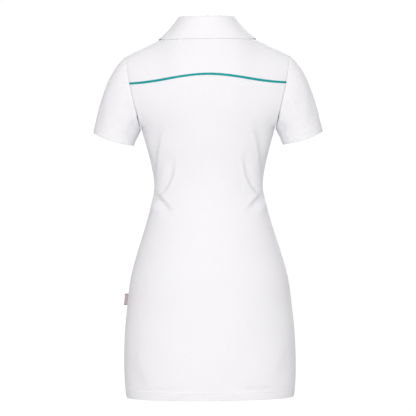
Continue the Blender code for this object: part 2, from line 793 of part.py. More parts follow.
def main():
    for item in list(bpy.data.objects):
        bpy.data.objects.remove(item, do_unlink=True)
    group = bpy.data.collections.new("polo_dress")
    bpy.context.scene.collection.children.link(group)

    knit = material("white_knit", (0.86, 0.87, 0.90), 0.9)
    teal = material("teal_trim", (0.007, 0.33, 0.30), 0.7)
    tape = material("label_tape", (0.45, 0.36, 0.38), 0.8)
    button = material("button_white", (0.85, 0.86, 0.88), 0.35)

    back = body_wall("back_panel", BACK, back_heights, knit)
    yoke = body_wall("back_yoke", BACK, yoke_heights, knit)
    front = make_front(knit)
    make_piping(teal)
    make_sleeves(knit, (back, yoke, front))
    make_stand(knit)
    make_leaf(knit)
    make_placket(knit)
    make_buttons(button)
    make_label(tape)


main()
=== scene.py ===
# The looks of the polo dress: its cut pieces as thin knit shells with their creases,
# seams and stitches, on the same forms as the CAD solids, in a plain pale studio.
#
# Sizes are millimetres here and become metres when a mesh is made. +Z is up, the
# front faces -Y and the wearer's left is +X. Grids of points are numpy arrays of
# rows, columns and x, y, z.

import json
import math

import bpy
import numpy as np
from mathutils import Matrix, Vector

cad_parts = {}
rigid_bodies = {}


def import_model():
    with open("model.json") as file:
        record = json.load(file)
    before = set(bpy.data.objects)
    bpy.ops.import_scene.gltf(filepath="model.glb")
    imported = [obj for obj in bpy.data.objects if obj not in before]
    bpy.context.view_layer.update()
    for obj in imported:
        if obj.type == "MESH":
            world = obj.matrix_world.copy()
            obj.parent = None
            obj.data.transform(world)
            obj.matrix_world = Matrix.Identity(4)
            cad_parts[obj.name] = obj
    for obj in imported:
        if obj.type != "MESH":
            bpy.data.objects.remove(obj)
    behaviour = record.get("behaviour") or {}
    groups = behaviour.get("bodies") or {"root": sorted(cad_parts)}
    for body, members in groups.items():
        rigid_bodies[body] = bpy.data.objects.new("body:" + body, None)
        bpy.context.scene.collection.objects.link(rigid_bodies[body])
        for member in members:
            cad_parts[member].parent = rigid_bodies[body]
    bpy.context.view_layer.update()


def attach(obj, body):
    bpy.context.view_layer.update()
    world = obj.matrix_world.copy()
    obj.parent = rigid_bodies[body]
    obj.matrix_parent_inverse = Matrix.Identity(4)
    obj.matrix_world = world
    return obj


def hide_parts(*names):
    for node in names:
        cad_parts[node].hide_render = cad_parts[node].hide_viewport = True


MM = 0.001
BACK, FRONT = 1.0, -1.0
X, Y, Z = np.eye(3)

# Cloth
CLOTH = 1.3  # knit wall
HEM_CLOTH = 2.4  # knit wall where it is turned up
COLLAR_CLOTH = 1.8  # two layers of knit
SEAM_GAP = 0.3  # between two pieces that are sewn together

# Main sizes of the body, as in the CAD model
HEM_Z = -855.0
HEM_TOP = HEM_Z + 22.0  # upper edge of the turned-up hem
HEM_PROUD = 0.45  # how far the doubled cloth stands out there
ARMPIT_Z = -211.0
ARMPIT_X = 160.0
TIP_X = 195.0  # shoulder tip, the top of the armhole
TIP_Z = -37.5
NECK_X = 70.0  # half width of the neck where the shoulder seam starts
NECK_Z = 30.0
NECK_FLARE = 8.0  # how much the shoulder seam curves up beside the neck
NECK_DEPTH = {BACK: 64.0, FRONT: 72.0}
NECK_DROP = {BACK: 13.0, FRONT: 90.0}
ARMHOLE_DEPTH = {BACK: 58.0, FRONT: 54.0}  # how far it reaches from the shoulder seam
ARMHOLE_FLARE = 1.5  # exponent of the armhole's curve from the armpit to the tip
ARMHOLE_OPENS = 0.38  # share of its height in which it reaches its full depth
ARMHOLE_FLATTENS = 0.24  # and in which the cloth beside it flattens, sooner than in the CAD
UPPER_SQUARENESS = 2.6  # of the level sections above the armpit
ROUND_OVER = 2.4  # how squarely the cloth rounds over the shoulder seam
NECK_ROUND = {BACK: 3.5, FRONT: 6.0}  # the same beside the neck
NECK_BLEND = 55.0  # width over which the one becomes the other
ARMPIT_EASE = 25.0  # height over which the bend at the armpit is eased
NECK_EASE = 20.0  # width over which the bend below the neck's corner is eased

# Level sections of the body, from the hem up to the neck. The depths behind and in front
# are measured on the centre line, and squareness is the exponent of the rounded section.
SECTION_COLUMNS = ("height", "half_width", BACK, FRONT, "squareness")
SECTIONS = (
    (-855, 200, 124, 116, 2.20),
    (-826, 203.8, 127, 118, 2.20),
    (-770, 205.6, 130, 119, 2.20),
    (-700, 203.2, 131, 119, 2.20),
    (-640, 197.5, 131, 118, 2.15),
    (-570, 188.4, 127, 114, 2.15),
    (-510, 172.2, 116, 107, 2.10),
    (-450, 153.2, 99, 98, 2.10),
    (-400, 139.5, 85, 92, 2.10),
    (-350, 129.8, 78, 90, 2.10),
    (-300, 136.6, 80, 97, 2.10),
    (-255, 147.8, 86, 110, 2.10),
    (-211, 160, 91, 116, 2.10),
    (-150, 172, 97, 104, 2.10),
    (-100, 185, 98, 90, 2.10),
    (-60, 192, 94, 74, 2.10),
    (-25, 195, 85, 47, 2.10),
    (5, 195, 73, 22, 2.10),
    (30, 195, 60, 6, 2.10),
)

# The seam that carries the piping: level behind the neck, lower at the armholes
YOKE_SEAM_Z = -87.0
YOKE_SEAM_FALL = 18.8
PIPING_HALF = 2.8  # half of its height on the back
PIPING_PROUD = 1.2
PIPING_TUCK = 0.3  # the panels' edges reach this far under it

# Placket and buttons
PLACKET_HALF = 15.0
PLACKET_END_Z = -222.0
STRIP_CLOTH = 1.5
STRIP_PROUD = 0.5  # how far the upper strip is puffed up inside its edges
UNDER_STRIP_EXTRA = 8.0  # the under strip reaches this far past the slit
UNDER_STRIP_SHORT = 4.0  # and ends this far below the neck edge
BUTTONS = (("button_top", -80.0), ("button_middle", -131.0), ("button_low", -182.0))
BUTTON_OUT = 2.1  # from the front's surface to the middle of a button
BUTTON_HOLE_OUT = 1.3  # its four holes lie this far out on both axes
BUTTON_HOLE_RADIUS = 0.62
BUTTON_CORNERS = 48
BAR_OUT = 0.62  # the bars of thread lie this far out from the middle of the button
BAR_HALF = 1.75
BAR_THREAD_OUT = 0.22  # each bar has a thread this far to both sides
BUTTONHOLE_HALF = (1.0, 9.0)  # half its width and height
BUTTONHOLE_OUT = 1.25  # from the front's surface to its stitches
BUTTONHOLE_STITCH = (1.5, 0.5)  # length and distance of its stitches
# Radius and height of a button's turned outline, its back first
BUTTON_PROFILE = ((0, -1.2), (4.6, -1.2), (5.3, -0.9), (5.6, -0.3), (5.6, 0.5), (5.3, 1.05),
                  (4.8, 1.2), (4.2, 1.05), (3.7, 0.55), (2.6, 0.35), (0, 0.3))

# Collar. Its neck edge and its fold are ovals with a half width, height, depth and drop.
NECK = (NECK_X, NECK_Z, NECK_DEPTH, NECK_DROP)
FOLD = (61.2, 55.8, {BACK: 57.0, FRONT: 67.0}, {BACK: 4.2, FRONT: 88.0})
FOLD_ROLL = 7.0  # thickness of the folded edge
STAND_SHARE = 0.8  # the leaf is sewn to the stand this far up to the fold
LEAF_CLEAR = 2.2  # 4.5 in the CAD model, whose facets need more room
LEAF_SAG = 2.5
LEAF_PAST_FOLD = 34.0  # this far along it the fold ends
LEAF_LIFT = 0.4  # more clearance where it crosses the shoulder seam
COLLAR_LEAN = 1.2
LEAF_END_ANGLE = 172.0
# Edge of the leaf on the wearer's left, from the centre back round to the collar point
LEAF_EDGE_COLUMNS = ("angle", "x", "height")
LEAF_EDGE = (
    (0, 0, -2.5),
    (25, 45, -2.3),
    (50, 82, -2.6),
    (70, 103, -1.5),
    (82, 113, 1.5),
    (90, 116, 4),
    (98, 116.5, 2),
    (110, 114, -14),
    (130, 104, -40),
    (155, 76, -74),
    (172, 50, -96),
)

# Sleeves. The hem is an oval, given by its outer and inner ends in the shoulder plane.
SLEEVE_HEM_OUTER = (275.5, 0.0, -221.5)
SLEEVE_HEM_INNER = (179.5, 0.0, -252.5)
SLEEVE_HEM_HALF_DEPTH = 49.0
SLEEVE_HEM_SAGS = (6.0, 2.0)  # the hem hangs this much lower behind and in front
SLEEVE_HEM_DEPTH = 20.9  # of the turned-up cloth
SLEEVE_STARTS = (0.25, 0.2)  # its edge lies this far past the armhole's edge and outside it
SLEEVE_HEM_PROUD = 0.4

# Side label, a folded tape in the seam on the wearer's left
LABEL_TOP_Z = -607.0
LABEL_HEIGHT = 27.0
LABEL_OUT = 8.5
LABEL_CLOTH = 0.6
LABEL_BORDER = 1.6
# How far a point of its outline is short of the fold, and its depth, seen from above
LABEL_OUTLINE = ((LABEL_OUT, 2.4), (6, 2.5), (1.2, 2.4), (0.35, 2.05), (0, 1.2),
                 (0.35, 0.35), (1.2, 0), (6, -0.1), (LABEL_OUT, 0))

# Soft troughs drawn in the cloth. A row has its side, the x and z of the three points
# that it runs through, its depth and its half width.
CREASES = (
    # from the nipped waist, on the back
    (BACK, 84, -288, 96, -340, 128, -376, 5, 4.5),
    (BACK, 133, -367, 112, -388, 90, -411, 5.4, 5.2),
    (BACK, 113, -216, 126, -268, 131, -328, 3.6, 5),
    (BACK, -86, -282, -99, -338, -130, -376, 4.6, 4.5),
    (BACK, -133, -369, -114, -388, -93, -409, 5, 5),
    (BACK, -111, -206, -125, -264, -132, -334, 3.4, 5.5),
    # and on the front
    (FRONT, 84, -262, 97, -322, 121, -362, 3.5, 9),
    (FRONT, 122, -372, 101, -391, 77, -420, 4, 8.5),
    (FRONT, -90, -256, -97, -316, -119, -352, 3.5, 9),
    (FRONT, -124, -364, -103, -386, -80, -408, 3.5, 8.5),
    # small ones: drags under the piping, across the seat and over the hem
    (BACK, 46, -102, 47, -126, 45, -154, 0.9, 7),
    (BACK, -43, -100, -42, -130, -44, -160, 0.9, 7),
    (BACK, 38, -534, -8, -537, -52, -533, 0.9, 7),
    (BACK, 131, -829, 95, -831.5, 42, -827, 1.3, 5),
    (BACK, -42, -825, -102, -831, -157, -825, 1.3, 5),
    (BACK, 183, -748, 172, -796, 150, -832, 1.3, 9),
    (BACK, -189, -732, -175, -780, -153, -820, 1.4, 9),
    (FRONT, 120, -829, 82, -831, 30, -827, 1.2, 5),
    (FRONT, -30, -826, -96, -830, -148, -825, 1.2, 5),
    (FRONT, 180, -742, 170, -790, 146, -828, 1.6, 9),
    (FRONT, -184, -750, -173, -796, -156, -826, 1.6, 9),
    (FRONT, 30, -236, 26, -270, 34, -312, 1.2, 8),
    (FRONT, -27, -234, -34, -266, -30, -300, 1.2, 8),
    (FRONT, 138, -196, 112, -182, 84, -176, 1.6, 9),
    (FRONT, -140, -192, -116, -176, -88, -172, 1.6, 9),
)
CREASE_FADE = 18.0  # creases end this far from the side seams
CREASE_RIDGE = 0.35  # height of the soft ridge beside a trough, as a share of its depth
CREASE_GENTLE = 2.2  # how much wider a trough is on its outer side

# The same on the sleeves, with angles round the sleeve (0 along its outer fold, 90
# behind) and shares of the way down. The side is 1 on the wearer's left.
SLEEVE_CREASES = (
    (1, 34, 0.66, 31, 0.77, 35, 0.90, 1, 6),
    (1, 118, 0.06, 96, 0.30, 84, 0.52, 1.6, 9),
    (1, 150, 0.10, 134, 0.42, 128, 0.78, 1.8, 8),
    (1, -36, 0.52, -34, 0.70, -39, 0.88, 1.5, 7),
    (1, -128, 0.08, -108, 0.36, -100, 0.62, 1.7, 9),
    (-1, 37, 0.50, 33, 0.66, 36, 0.84, 1.4, 7),
    (-1, 122, 0.05, 104, 0.26, 92, 0.46, 1.6, 9),
    (-1, 152, 0.12, 138, 0.40, 126, 0.72, 1.8, 8),
    (-1, -33, 0.58, -36, 0.72, -32, 0.89, 1.6, 6.5),
    (-1, -124, 0.07, -112, 0.32, -98, 0.58, 1.7, 9),
)
SLEEVE_RADIUS = 56.0  # turns an angle round the sleeve into a length
SLEEVE_LENGTH = 190.0

# Rows and columns of the shells
ROW_STEP = 3.8
SLEEVE_ROW_STEP = 3.4
NEAR_LINE = (-2.2, -1.2, -0.5, 0.0, 0.5, 1.2, 2.2)
NECK_COLUMNS = 26
SHOULDER_COLUMNS = 58
SLEEVE_COLUMNS = 132
COLLAR_COLUMNS = 96
PLACKET_COLUMNS = 12

# Seams and stitching
SEAM_SINK = 0.5  # how far a sewn edge sinks into its seam
SEAM_REACH = 2.2
SEAM_PUFF = 0.175  # how far the cloth beside it stands out
ARMHOLE_SINK = 0.3  # how far the sleeve's edge sinks
ARMPIT_SINK = 2.4  # and how far it is pulled in beside the armpit
ARMPIT_TUCK_HEIGHT = 32.0  # up to this far above the armpit
STITCH_LENGTH = 2.3
STITCH_PITCH = 3.1
FINE_STITCHES = {"pitch": 2.7, "length": 2.0}
THREAD_RADIUS = 0.24
THREAD_CORNERS = 5
# Along a stitch: share of its length, thickness and height as shares of the radius
THREAD_STATIONS = ((-0.5, 0.55, -0.9), (-0.3, 1.0, 0.1), (0.3, 1.0, 0.1), (0.5, 0.55, -0.9))
HEM_STITCH_DEPTHS = (-1.6, -7.2)  # below the top of the turned-up hem
COLLAR_STITCH_IN = (4.0, 10.6)  # in from the leaf's edge
PIPING_STITCH_OUT = 4.4  # from the piping's edge
ARMHOLE_STITCH_IN = 6.0
SHOULDER_STITCH_DOWN = 5.0
PLACKET_STITCH_IN = 2.6
PLACKET_BAR_UP = 14.0  # a second row across the placket's lower end
COLLAR_STITCH_FROM = 0.34  # share of the leaf's width where its end rows start

# Camera and studio, in metres
PHOTO_WIDTH = 416
CAMERA_DISTANCE = 5.0
CAMERA_X = 0.0019
CAMERA_Z = -0.403
METRES_PER_PIXEL = 0.0024  # at the plane of the shoulders
CAMERA_ROLL = math.radians(0.45)
FLOOR_Z = -1.45
STUDIO_TINT = (1.0, 0.972, 0.968)
SKY = 0.525  # strength of its light
WHITE = (1.0, 1.0, 1.0, 1.0)


def smooth_step(t):
    t = np.clip(t, 0.0, 1.0)
    return t * t * (3.0 - 2.0 * t)


def mix(a, b, t):
    return a + (b - a) * t


def bell(x, centre, width):
    return np.exp(-((x - centre) / width)**2)


def vector(*parts):
    return np.array(parts, float)


def unit(v):
    return v / np.maximum(np.linalg.norm(v, axis=-1, keepdims=True), 1e-9)


def smooth_curve(keys, values, wanted):
    """Values at the wanted places on a smooth curve through the values at keys, which
    run along the last axis."""
    row = np.arange(len(keys))
    after, before = np.minimum(row + 1, row[-1]), np.maximum(row - 1, 0)
    slopes = (values[..., after] - values[..., before]) / (keys[after] - keys[before])
    wanted = np.clip(wanted, keys[0], keys[-1])
    i = np.clip(np.searchsorted(keys, wanted, side="right") - 1, 0, len(keys) - 2)
    span = keys[i + 1] - keys[i]
    t = (wanted - keys[i]) / span
    return (mix(values[..., i], values[..., i + 1], smooth_step(t))
            + span * t * (1 - t) * ((1 - t) * slopes[..., i] - t * slopes[..., i + 1]))


def read_table(rows, columns, column, wanted):
    """Values of a column where the table's first one has the wanted values."""
    table = np.array(rows).T
    return smooth_curve(table[0], table[columns.index(column)], wanted)


def section(column, z):
    return read_table(SECTIONS, SECTION_COLUMNS, column, z)


# Form of the body. A place on it is a side (back or front), a share of the half width
# from 0 on the centre line to 1 at the side seam or armhole, and a height.

def neck_angle_cosine(share):
    return np.sqrt(np.maximum(0.0, 1.0 - (share * TIP_X / NECK_X)**2))


def top_z(side, share):
    """Height of the neck edge or of the shoulder seam."""
    x = share * TIP_X
    reach = (TIP_X - x) / (TIP_X - NECK_X)
    seam = TIP_Z + (NECK_Z - TIP_Z - NECK_FLARE) * reach + NECK_FLARE * reach**6
    return np.where(x < NECK_X, NECK_Z - NECK_DROP[side] * neck_angle_cosine(share), seam)


def top_depth(side, share, up):
    """Depth that the neck edge gives the cloth below it, softer further down."""
    soft = 1.0 - smooth_step(share * TIP_X / (1.5 * NECK_X))
    return NECK_DEPTH[side] * mix(soft, neck_angle_cosine(share), up**12)


def rise(side, share, z):
    """0 at the armpit's level and 1 at the neck edge or shoulder seam."""
    return np.clip((z - ARMPIT_Z) / (top_z(side, share) - ARMPIT_Z), 0.0, 1.0)


def half_width(side, share, z):
    upper = mix(TIP_X, ARMPIT_X, (1.0 - rise(side, share, z))**ARMHOLE_FLARE)
    return np.where(z <= ARMPIT_Z, section("half_width", z), upper)


def plain_point(side, share, z):
    """Points of the CAD model's outer surface on the wearer's left."""
    share, z = np.broadcast_arrays(np.asarray(share, float), np.asarray(z, float))
    square = section("squareness", z)
    oval = np.maximum(1.0 - share**square, 0.0)**(1.0 / square)
    up = rise(side, share, z)
    edge = ARMHOLE_DEPTH[side] * np.sqrt(1.0 - (1.0 - np.minimum(up / ARMHOLE_OPENS, 1.0))**2)
    flat = mix(oval, 1.0 - share**UPPER_SQUARENESS, smooth_step(up / ARMHOLE_FLATTENS))
    bend = mix(NECK_ROUND[side], ROUND_OVER, smooth_step((share * TIP_X - NECK_X) / NECK_BLEND))
    round_over = np.maximum(1.0 - up**bend, 0.0)**(1.0 / bend)
    level = mix(edge, section(side, z), flat)
    y = side * mix(top_depth(side, share, up), level, round_over)
    return np.stack([share * half_width(side, share, z), y, z], axis=-1)


def eased(point, spread, point_at, slope):
    """Shift in depth that replaces a point by the weighted average of the points at
    steps of up to 1.9 spreads to both sides, at the point's own x."""
    steps = np.linspace(-1.9, 1.9, 23)
    mean = np.average([point_at(step * spread) for step in steps], 0, np.exp(-steps**2))
    return mean[..., 1] - point[..., 1] - slope * (mean[..., 0] - point[..., 0])


def body_point(side, share, z):
    """Points of the body's outer surface on the wearer's left, without creases. The bends
    of the plain form at the armpit's level and below the neck's corner are eased out."""
    share, z = np.broadcast_arrays(np.asarray(share, float), np.asarray(z, float))
    point = plain_point(side, share, z)
    centre = plain_point(side, 0.0, z)
    near, far = (plain_point(side, np.clip(share + step, 0.0, 0.98), z) for step in (-0.03, 0.03))
    slope = (far[..., 1] - near[..., 1]) / np.maximum(far[..., 0] - near[..., 0], 1.0)

    def up_and_down(step):
        beyond = plain_point(side, share, z + step)
        beyond[..., 1] += centre[..., 1] - plain_point(side, 0.0, z + step)[..., 1]
        return beyond

    def sideways(step):
        beyond = plain_point(side, np.minimum(np.abs(share + step), 1.0), z)
        beyond[..., 0] = np.copysign(beyond[..., 0], share + step)
        return beyond

    at_armpit = np.exp(-((z - ARMPIT_Z - 5.0) / 52.0)**4) * smooth_step((1.0 - share) / 0.08)
    under_neck = (smooth_step((0.97 - rise(side, share, z)) / 0.10)
                  * smooth_step((0.90 - share) / 0.14) * smooth_step((z + 190.0) / 60.0))
    point[..., 1] += (eased(point, ARMPIT_EASE, up_and_down, slope) * at_armpit
                      + eased(point, NECK_EASE / TIP_X, sideways, slope) * under_neck)
    return point


def share_at(side, x, z):
    """Share of the half width at which the body has this x at this height."""
    share = np.asarray(x, float) / TIP_X
    for _ in range(5):
        share = x / half_width(side, share, z)
    return np.minimum(share, 1.0)


def body_normal(side, share, z):
    """Outward direction of the body's surface."""
    step = 0.4
    low, high = np.maximum(share - 0.01, 0.0), np.minimum(share + 0.01, 1.0)
    across = body_point(side, high, z) - body_point(side, low, z)
    upward = body_point(side, share, z + step) - body_point(side, share, z - step)
    normal = unit(np.cross(across, upward))
    return np.where(normal[..., 1:2] * side < 0, -normal, normal)


def yoke_seam_z(share):
    return YOKE_SEAM_Z - YOKE_SEAM_FALL * smooth_step(share)


# Relief of the cloth: how far it stands out of its plain form

def crease_relief(table, side, a, b, units=(1.0, 1.0)):
    """Relief of one side's creases at the places a, b. Each is a soft trough with a low
    ridge beside it, steep towards the middle of the piece and gentle on the other side."""
    relief = np.zeros(a.shape)
    share = np.linspace(0.0, 1.0, 33)
    through = np.stack([(1 - share) * (1 - 2 * share), 4 * share * (1 - share),
                        share * (2 * share - 1)])
    for crease_side, *points, depth, half_width in table:
        if crease_side != side:
            continue
        line_a, line_b = (np.reshape(points, (3, 2)) * units).T @ through
        reach = 4.0 * CREASE_GENTLE * half_width
        near = ((a > line_a.min() - reach) & (a < line_a.max() + reach)
                & (b > line_b.min() - reach) & (b < line_b.max() + reach))
        away = np.hypot(a[near][:, None] - line_a, b[near][:, None] - line_b)
        closest = away.argmin(axis=1)
        gentle = np.abs(a[near]) > np.abs(line_a[closest])
        away = away.min(axis=1) / (half_width * np.where(gentle, CREASE_GENTLE, 1.0))
        fade = np.sin(math.pi * np.clip(share[closest], 0.03, 0.97))**0.7
        relief[near] -= depth * fade * (bell(away, 0.0, 1.0) - CREASE_RIDGE * bell(away, 2.0, 0.9))
    return relief


def unevenness(a, b, phase):
    """Slow, low waves that no worn cloth is without."""
    return (0.34 * np.sin(a / 29.0 + 0.5 * np.sin(b / 61.0) + phase)
            + 0.30 * np.sin(b / 37.0 + 0.8 * np.sin(a / 53.0) + 2.1 * phase)
            + 0.22 * np.sin((a + 0.7 * b) / 21.0 + 1.7 * phase)
            + 0.16 * np.sin((0.8 * a - b) / 15.0 + 3.0 * phase))


def seam_relief(away, sink=SEAM_SINK):
    """A sewn edge sinks into its seam, and the cloth is puffed up a little beside it."""
    return SEAM_PUFF * bell(away, 6.0, 3.0) - sink * bell(away, 0.0, SEAM_REACH)


def stitch_relief(away, along, depth=0.38, width=1.3):
    """A stitched line is pressed in, a little unevenly along its length."""
    pull = 0.75 + 0.25 * np.sin(along / 5.1) * np.sin(along / 13.0 + 1.0)
    return -depth * pull * bell(away, 0.0, width)


# Grids of points

def arc_lengths(points, axis=0, ring=False):
    """Lengths along the rows (axis 1) or up the columns (axis 0) of a grid, or on a path."""
    if ring:
        points = np.concatenate([points, points[:, :1]], axis=1)
    steps = np.linalg.norm(np.diff(points, axis=axis), axis=-1)
    return np.insert(np.cumsum(steps, axis=axis), 0, 0.0, axis=axis)


def to_ends(lengths):
    """How far each place of a grid is from the nearer end of its row."""
    return np.minimum(lengths, lengths[:, -1:] - lengths)


def interpolated(wanted, keys, rows):
    """Rows of values at the wanted places between the keys of the given rows."""
    return np.stack([np.interp(wanted, keys, column) for column in rows.T], -1)


def grid_normals(grid, place, towards, ring=False):
    """Normals of a grid, turned so that the one at a place faces towards a direction."""
    if ring:
        across = np.roll(grid, -1, axis=1) - np.roll(grid, 1, axis=1)
    else:
        across = np.gradient(grid, axis=1)
    normals = unit(np.cross(across, np.gradient(grid, axis=0)))
    return normals * math.copysign(1.0, np.dot(normals[place], towards))


def mirrored(half):
    """A whole grid from the wearer's right to left, from its left half."""
    return np.concatenate([half[:, :0:-1] * vector(-1, 1, 1), half], axis=1)


def with_lines(low, high, step, lines):
    """Values from low to high, a step apart, and closer together at the lines."""
    fixed = {low, high, *lines}
    values = {*fixed, *np.arange(low, high, step), *np.add.outer(lines, NEAR_LINE).ravel()}
    kept = []
    for value in sorted(v for v in values if low <= v <= high):
        if kept and value - kept[-1] < 0.4:
            if value not in fixed:
                continue
            if kept[-1] not in fixed:
                kept.pop()
        kept.append(value)
    return np.array(kept)


def edge_inset(away, thickness):
    """How much each face of a wall draws in near its free edge, so that it is round."""
    radius = thickness / 2
    into = np.clip(radius - away, 0.0, radius)
    return np.minimum(radius - np.sqrt(np.maximum(radius**2 - into**2, 0.0)), 0.82 * radius)


class Shell:
    """A wall of cloth: its outer and inner faces, normals and lengths along the cloth."""

    def __init__(self, grid, normals, thickness, relief, inset=0.0, ring=False, start=0.0):
        self.ring, self.plain, self.normals = ring, grid, normals
        self.last, self.centre = grid.shape[1] - 1, grid.shape[1] // 2
        moved = grid + normals * relief[..., None]
        self.outer = moved - normals * np.expand_dims(inset, -1)
        self.inner = moved - normals * np.expand_dims(thickness - inset, -1)
        self.across = arc_lengths(moved, 1, ring)
        self.along = arc_lengths(moved) + start
        if ring:
            self.along = np.repeat(self.along[:, :1], grid.shape[1] + 1, axis=1)


def half_shares():
    """Shares of the half width, from the centre line to the side seam, with one column
    on the placket's slit."""
    angles = np.linspace(0.0, math.pi / 2, NECK_COLUMNS + 1)
    neck = NECK_X * np.sin(angles) / TIP_X
    slit = PLACKET_HALF / TIP_X
    neck[np.abs(neck - slit).argmin()] = slit
    turn = np.linspace(0.0, math.pi / 2, SHOULDER_COLUMNS + 1)[1:]
    return np.concatenate([neck, mix(NECK_X / TIP_X, 1.0, np.sin(turn))])


def beside_slit(shares, z):
    """Shares whose columns keep clear of the placket's slit at every height."""
    slit = PLACKET_HALF / TIP_X
    here = share_at(FRONT, PLACKET_HALF, z)
    inside = shares * here / slit
    outside = here + (shares - slit) * (1.0 - here) / (1.0 - slit)
    return np.where(shares <= slit, inside, outside)


def upper_rows(low_z, high_z, lines):
    """Heights between two edges that change along the columns. Lines are distances
    from the low edge (above 0) or from the high one (below 0), on the centre line."""
    reach = float(high_z[0] - low_z[0])
    marks = [line if line > 0 else reach + line for line in lines]
    shares = with_lines(0.0, reach, ROW_STEP, marks) / reach
    return mix(low_z[None, :], high_z[None, :], shares[:, None])


def body_shell(side, z, piping=None):
    """A body panel, with the piping above it, below it or not beside it."""
    shares = half_shares()
    share = beside_slit(shares, z) if side == FRONT else shares
    grid = mirrored(body_point(side, share, z) + side * Y * SEAM_GAP / 2)
    normals = grid_normals(grid, (len(grid) // 2, len(shares) - 1), side * Y)
    normals[np.abs(grid[..., 1]) < SEAM_GAP, 1] = 0.0
    normals = unit(normals)
    x, y, z = np.moveaxis(grid, -1, 0)
    across, up = arc_lengths(grid, 1), arc_lengths(grid)
    to_side, down = to_ends(across), up[-1] - up
    beyond_neck = smooth_step((np.abs(x) - NECK_X) / 4.0)
    under_leaf = mix(0.15, 1.0, smooth_step((-20.0 - z) / 40.0))
    free = smooth_step((np.abs(y) - 2.0) / CREASE_FADE) * smooth_step(to_side / 16.0)
    waves = unevenness(x, z, 0.4 + side) * under_leaf
    relief = ((crease_relief(CREASES, side, x, z) + waves) * free + seam_relief(to_side)
              + HEM_PROUD * smooth_step((HEM_TOP - z) / 1.6))
    for depth in HEM_STITCH_DEPTHS:
        relief += stitch_relief(z - HEM_TOP - depth, across)
    thickness = mix(CLOTH, HEM_CLOTH, smooth_step(HEM_TOP + 0.5 - z))
    inset, start = edge_inset(up, thickness), 0.0
    if piping == "above":
        relief += piping_relief(down, across)
        inset += edge_inset(down, thickness)
    else:
        relief += seam_relief(down) * beyond_neck
    if piping == "below":
        relief += (stitch_relief(down - SHOULDER_STITCH_DOWN, across) * beyond_neck
                   + piping_relief(up, across))
        start = z[:1]
    return Shell(grid, normals, thickness, relief, inset, start=start)


def piping_relief(away, across):
    """Beside the piping the cloth is puffed up at its edge and stitched further on."""
    return 0.5 * bell(away, 1.6, 1.6) + stitch_relief(away - PIPING_STITCH_OUT, across)


def make_panels():
    """The back below its piping, the yoke above it and the front."""
    shares = half_shares()
    seam, into = yoke_seam_z(shares), PIPING_HALF - PIPING_TUCK
    marks = HEM_Z, HEM_TOP, *(HEM_TOP + depth for depth in HEM_STITCH_DEPTHS), PLACKET_END_Z
    level = with_lines(HEM_Z, ARMPIT_Z, ROW_STEP, marks)[:-1, None] + 0.0 * shares

    def whole(top, lines):
        return np.concatenate([level, upper_rows(ARMPIT_Z + 0.0 * shares, top, lines)])

    yoke_z = upper_rows(seam + into, top_z(BACK, shares),
                        (0.01, PIPING_STITCH_OUT, -SHOULDER_STITCH_DOWN))
    return (body_shell(BACK, whole(seam - into, (-PIPING_STITCH_OUT, -0.01)), "above"),
            body_shell(BACK, yoke_z, "below"),
            body_shell(FRONT, whole(top_z(FRONT, shares), (-0.01,))))


# Sleeves

def sleeve_ring(panels):
    """The left armhole's edge and normals at even angles: -180 and 180 degrees at the
    armpit and 0 at the shoulder's tip."""
    edges = []
    for shell in panels:
        keep = shell.plain[:, -1, 2] >= ARMPIT_Z - 0.01
        edges.append(np.concatenate([shell.plain[keep, -1], shell.normals[keep, -1]], axis=1))
    back, yoke, front = edges
    edge = np.concatenate([yoke[::-1], back[::-1], front[1:-1], yoke[-1:]])
    armpit = len(yoke) + len(back) - 1
    edge[[0, armpit, -1], 1] = 0.0
    lengths = arc_lengths(edge[:, :3])
    angles = np.interp(lengths, lengths[[0, armpit, -1]], (0.0, math.pi, 2 * math.pi))
    wanted = np.linspace(math.pi, 3 * math.pi, SLEEVE_COLUMNS, endpoint=False) % (2 * math.pi)
    ring = interpolated(wanted, angles, edge)
    return ring[:, :3], unit(ring[:, 3:]), wanted


def sleeve_hem_point(angle):
    outer, inner = np.array(SLEEVE_HEM_OUTER), np.array(SLEEVE_HEM_INNER)
    cosine, sine = np.cos(angle)[..., None], np.sin(angle)[..., None]
    return (mix(inner, outer, (1 + cosine) / 2) + Y * SLEEVE_HEM_HALF_DEPTH * sine
            - Z * np.where(sine > 0, *SLEEVE_HEM_SAGS) * sine**2)


def sleeve_point(start, angle, t):
    """Points at share t of the way from the armhole to the hem, on curves whose
    directions and pulls go from those at the armpit to those over the shoulder."""
    end = sleeve_hem_point(angle)
    top = ((1 + np.cos(angle)) / 2)[..., None]
    leave = unit(mix(vector(0.45, 0, -0.89), vector(0.80, 0, -0.60), top))
    arrive = unit(mix(vector(0.40, 0, -0.92), vector(0.22, 0, -0.97), top))
    one = (start + leave * mix(14.0, 54.0, top**0.8)) * vector(1, 1.06, 1)
    two = (end - arrive * mix(14.0, 72.0, top**0.8)) * vector(1, 1.04, 1)
    s = 1 - t
    return start * s**3 + one * 3 * s * s * t + two * 3 * s * t * t + end * t**3


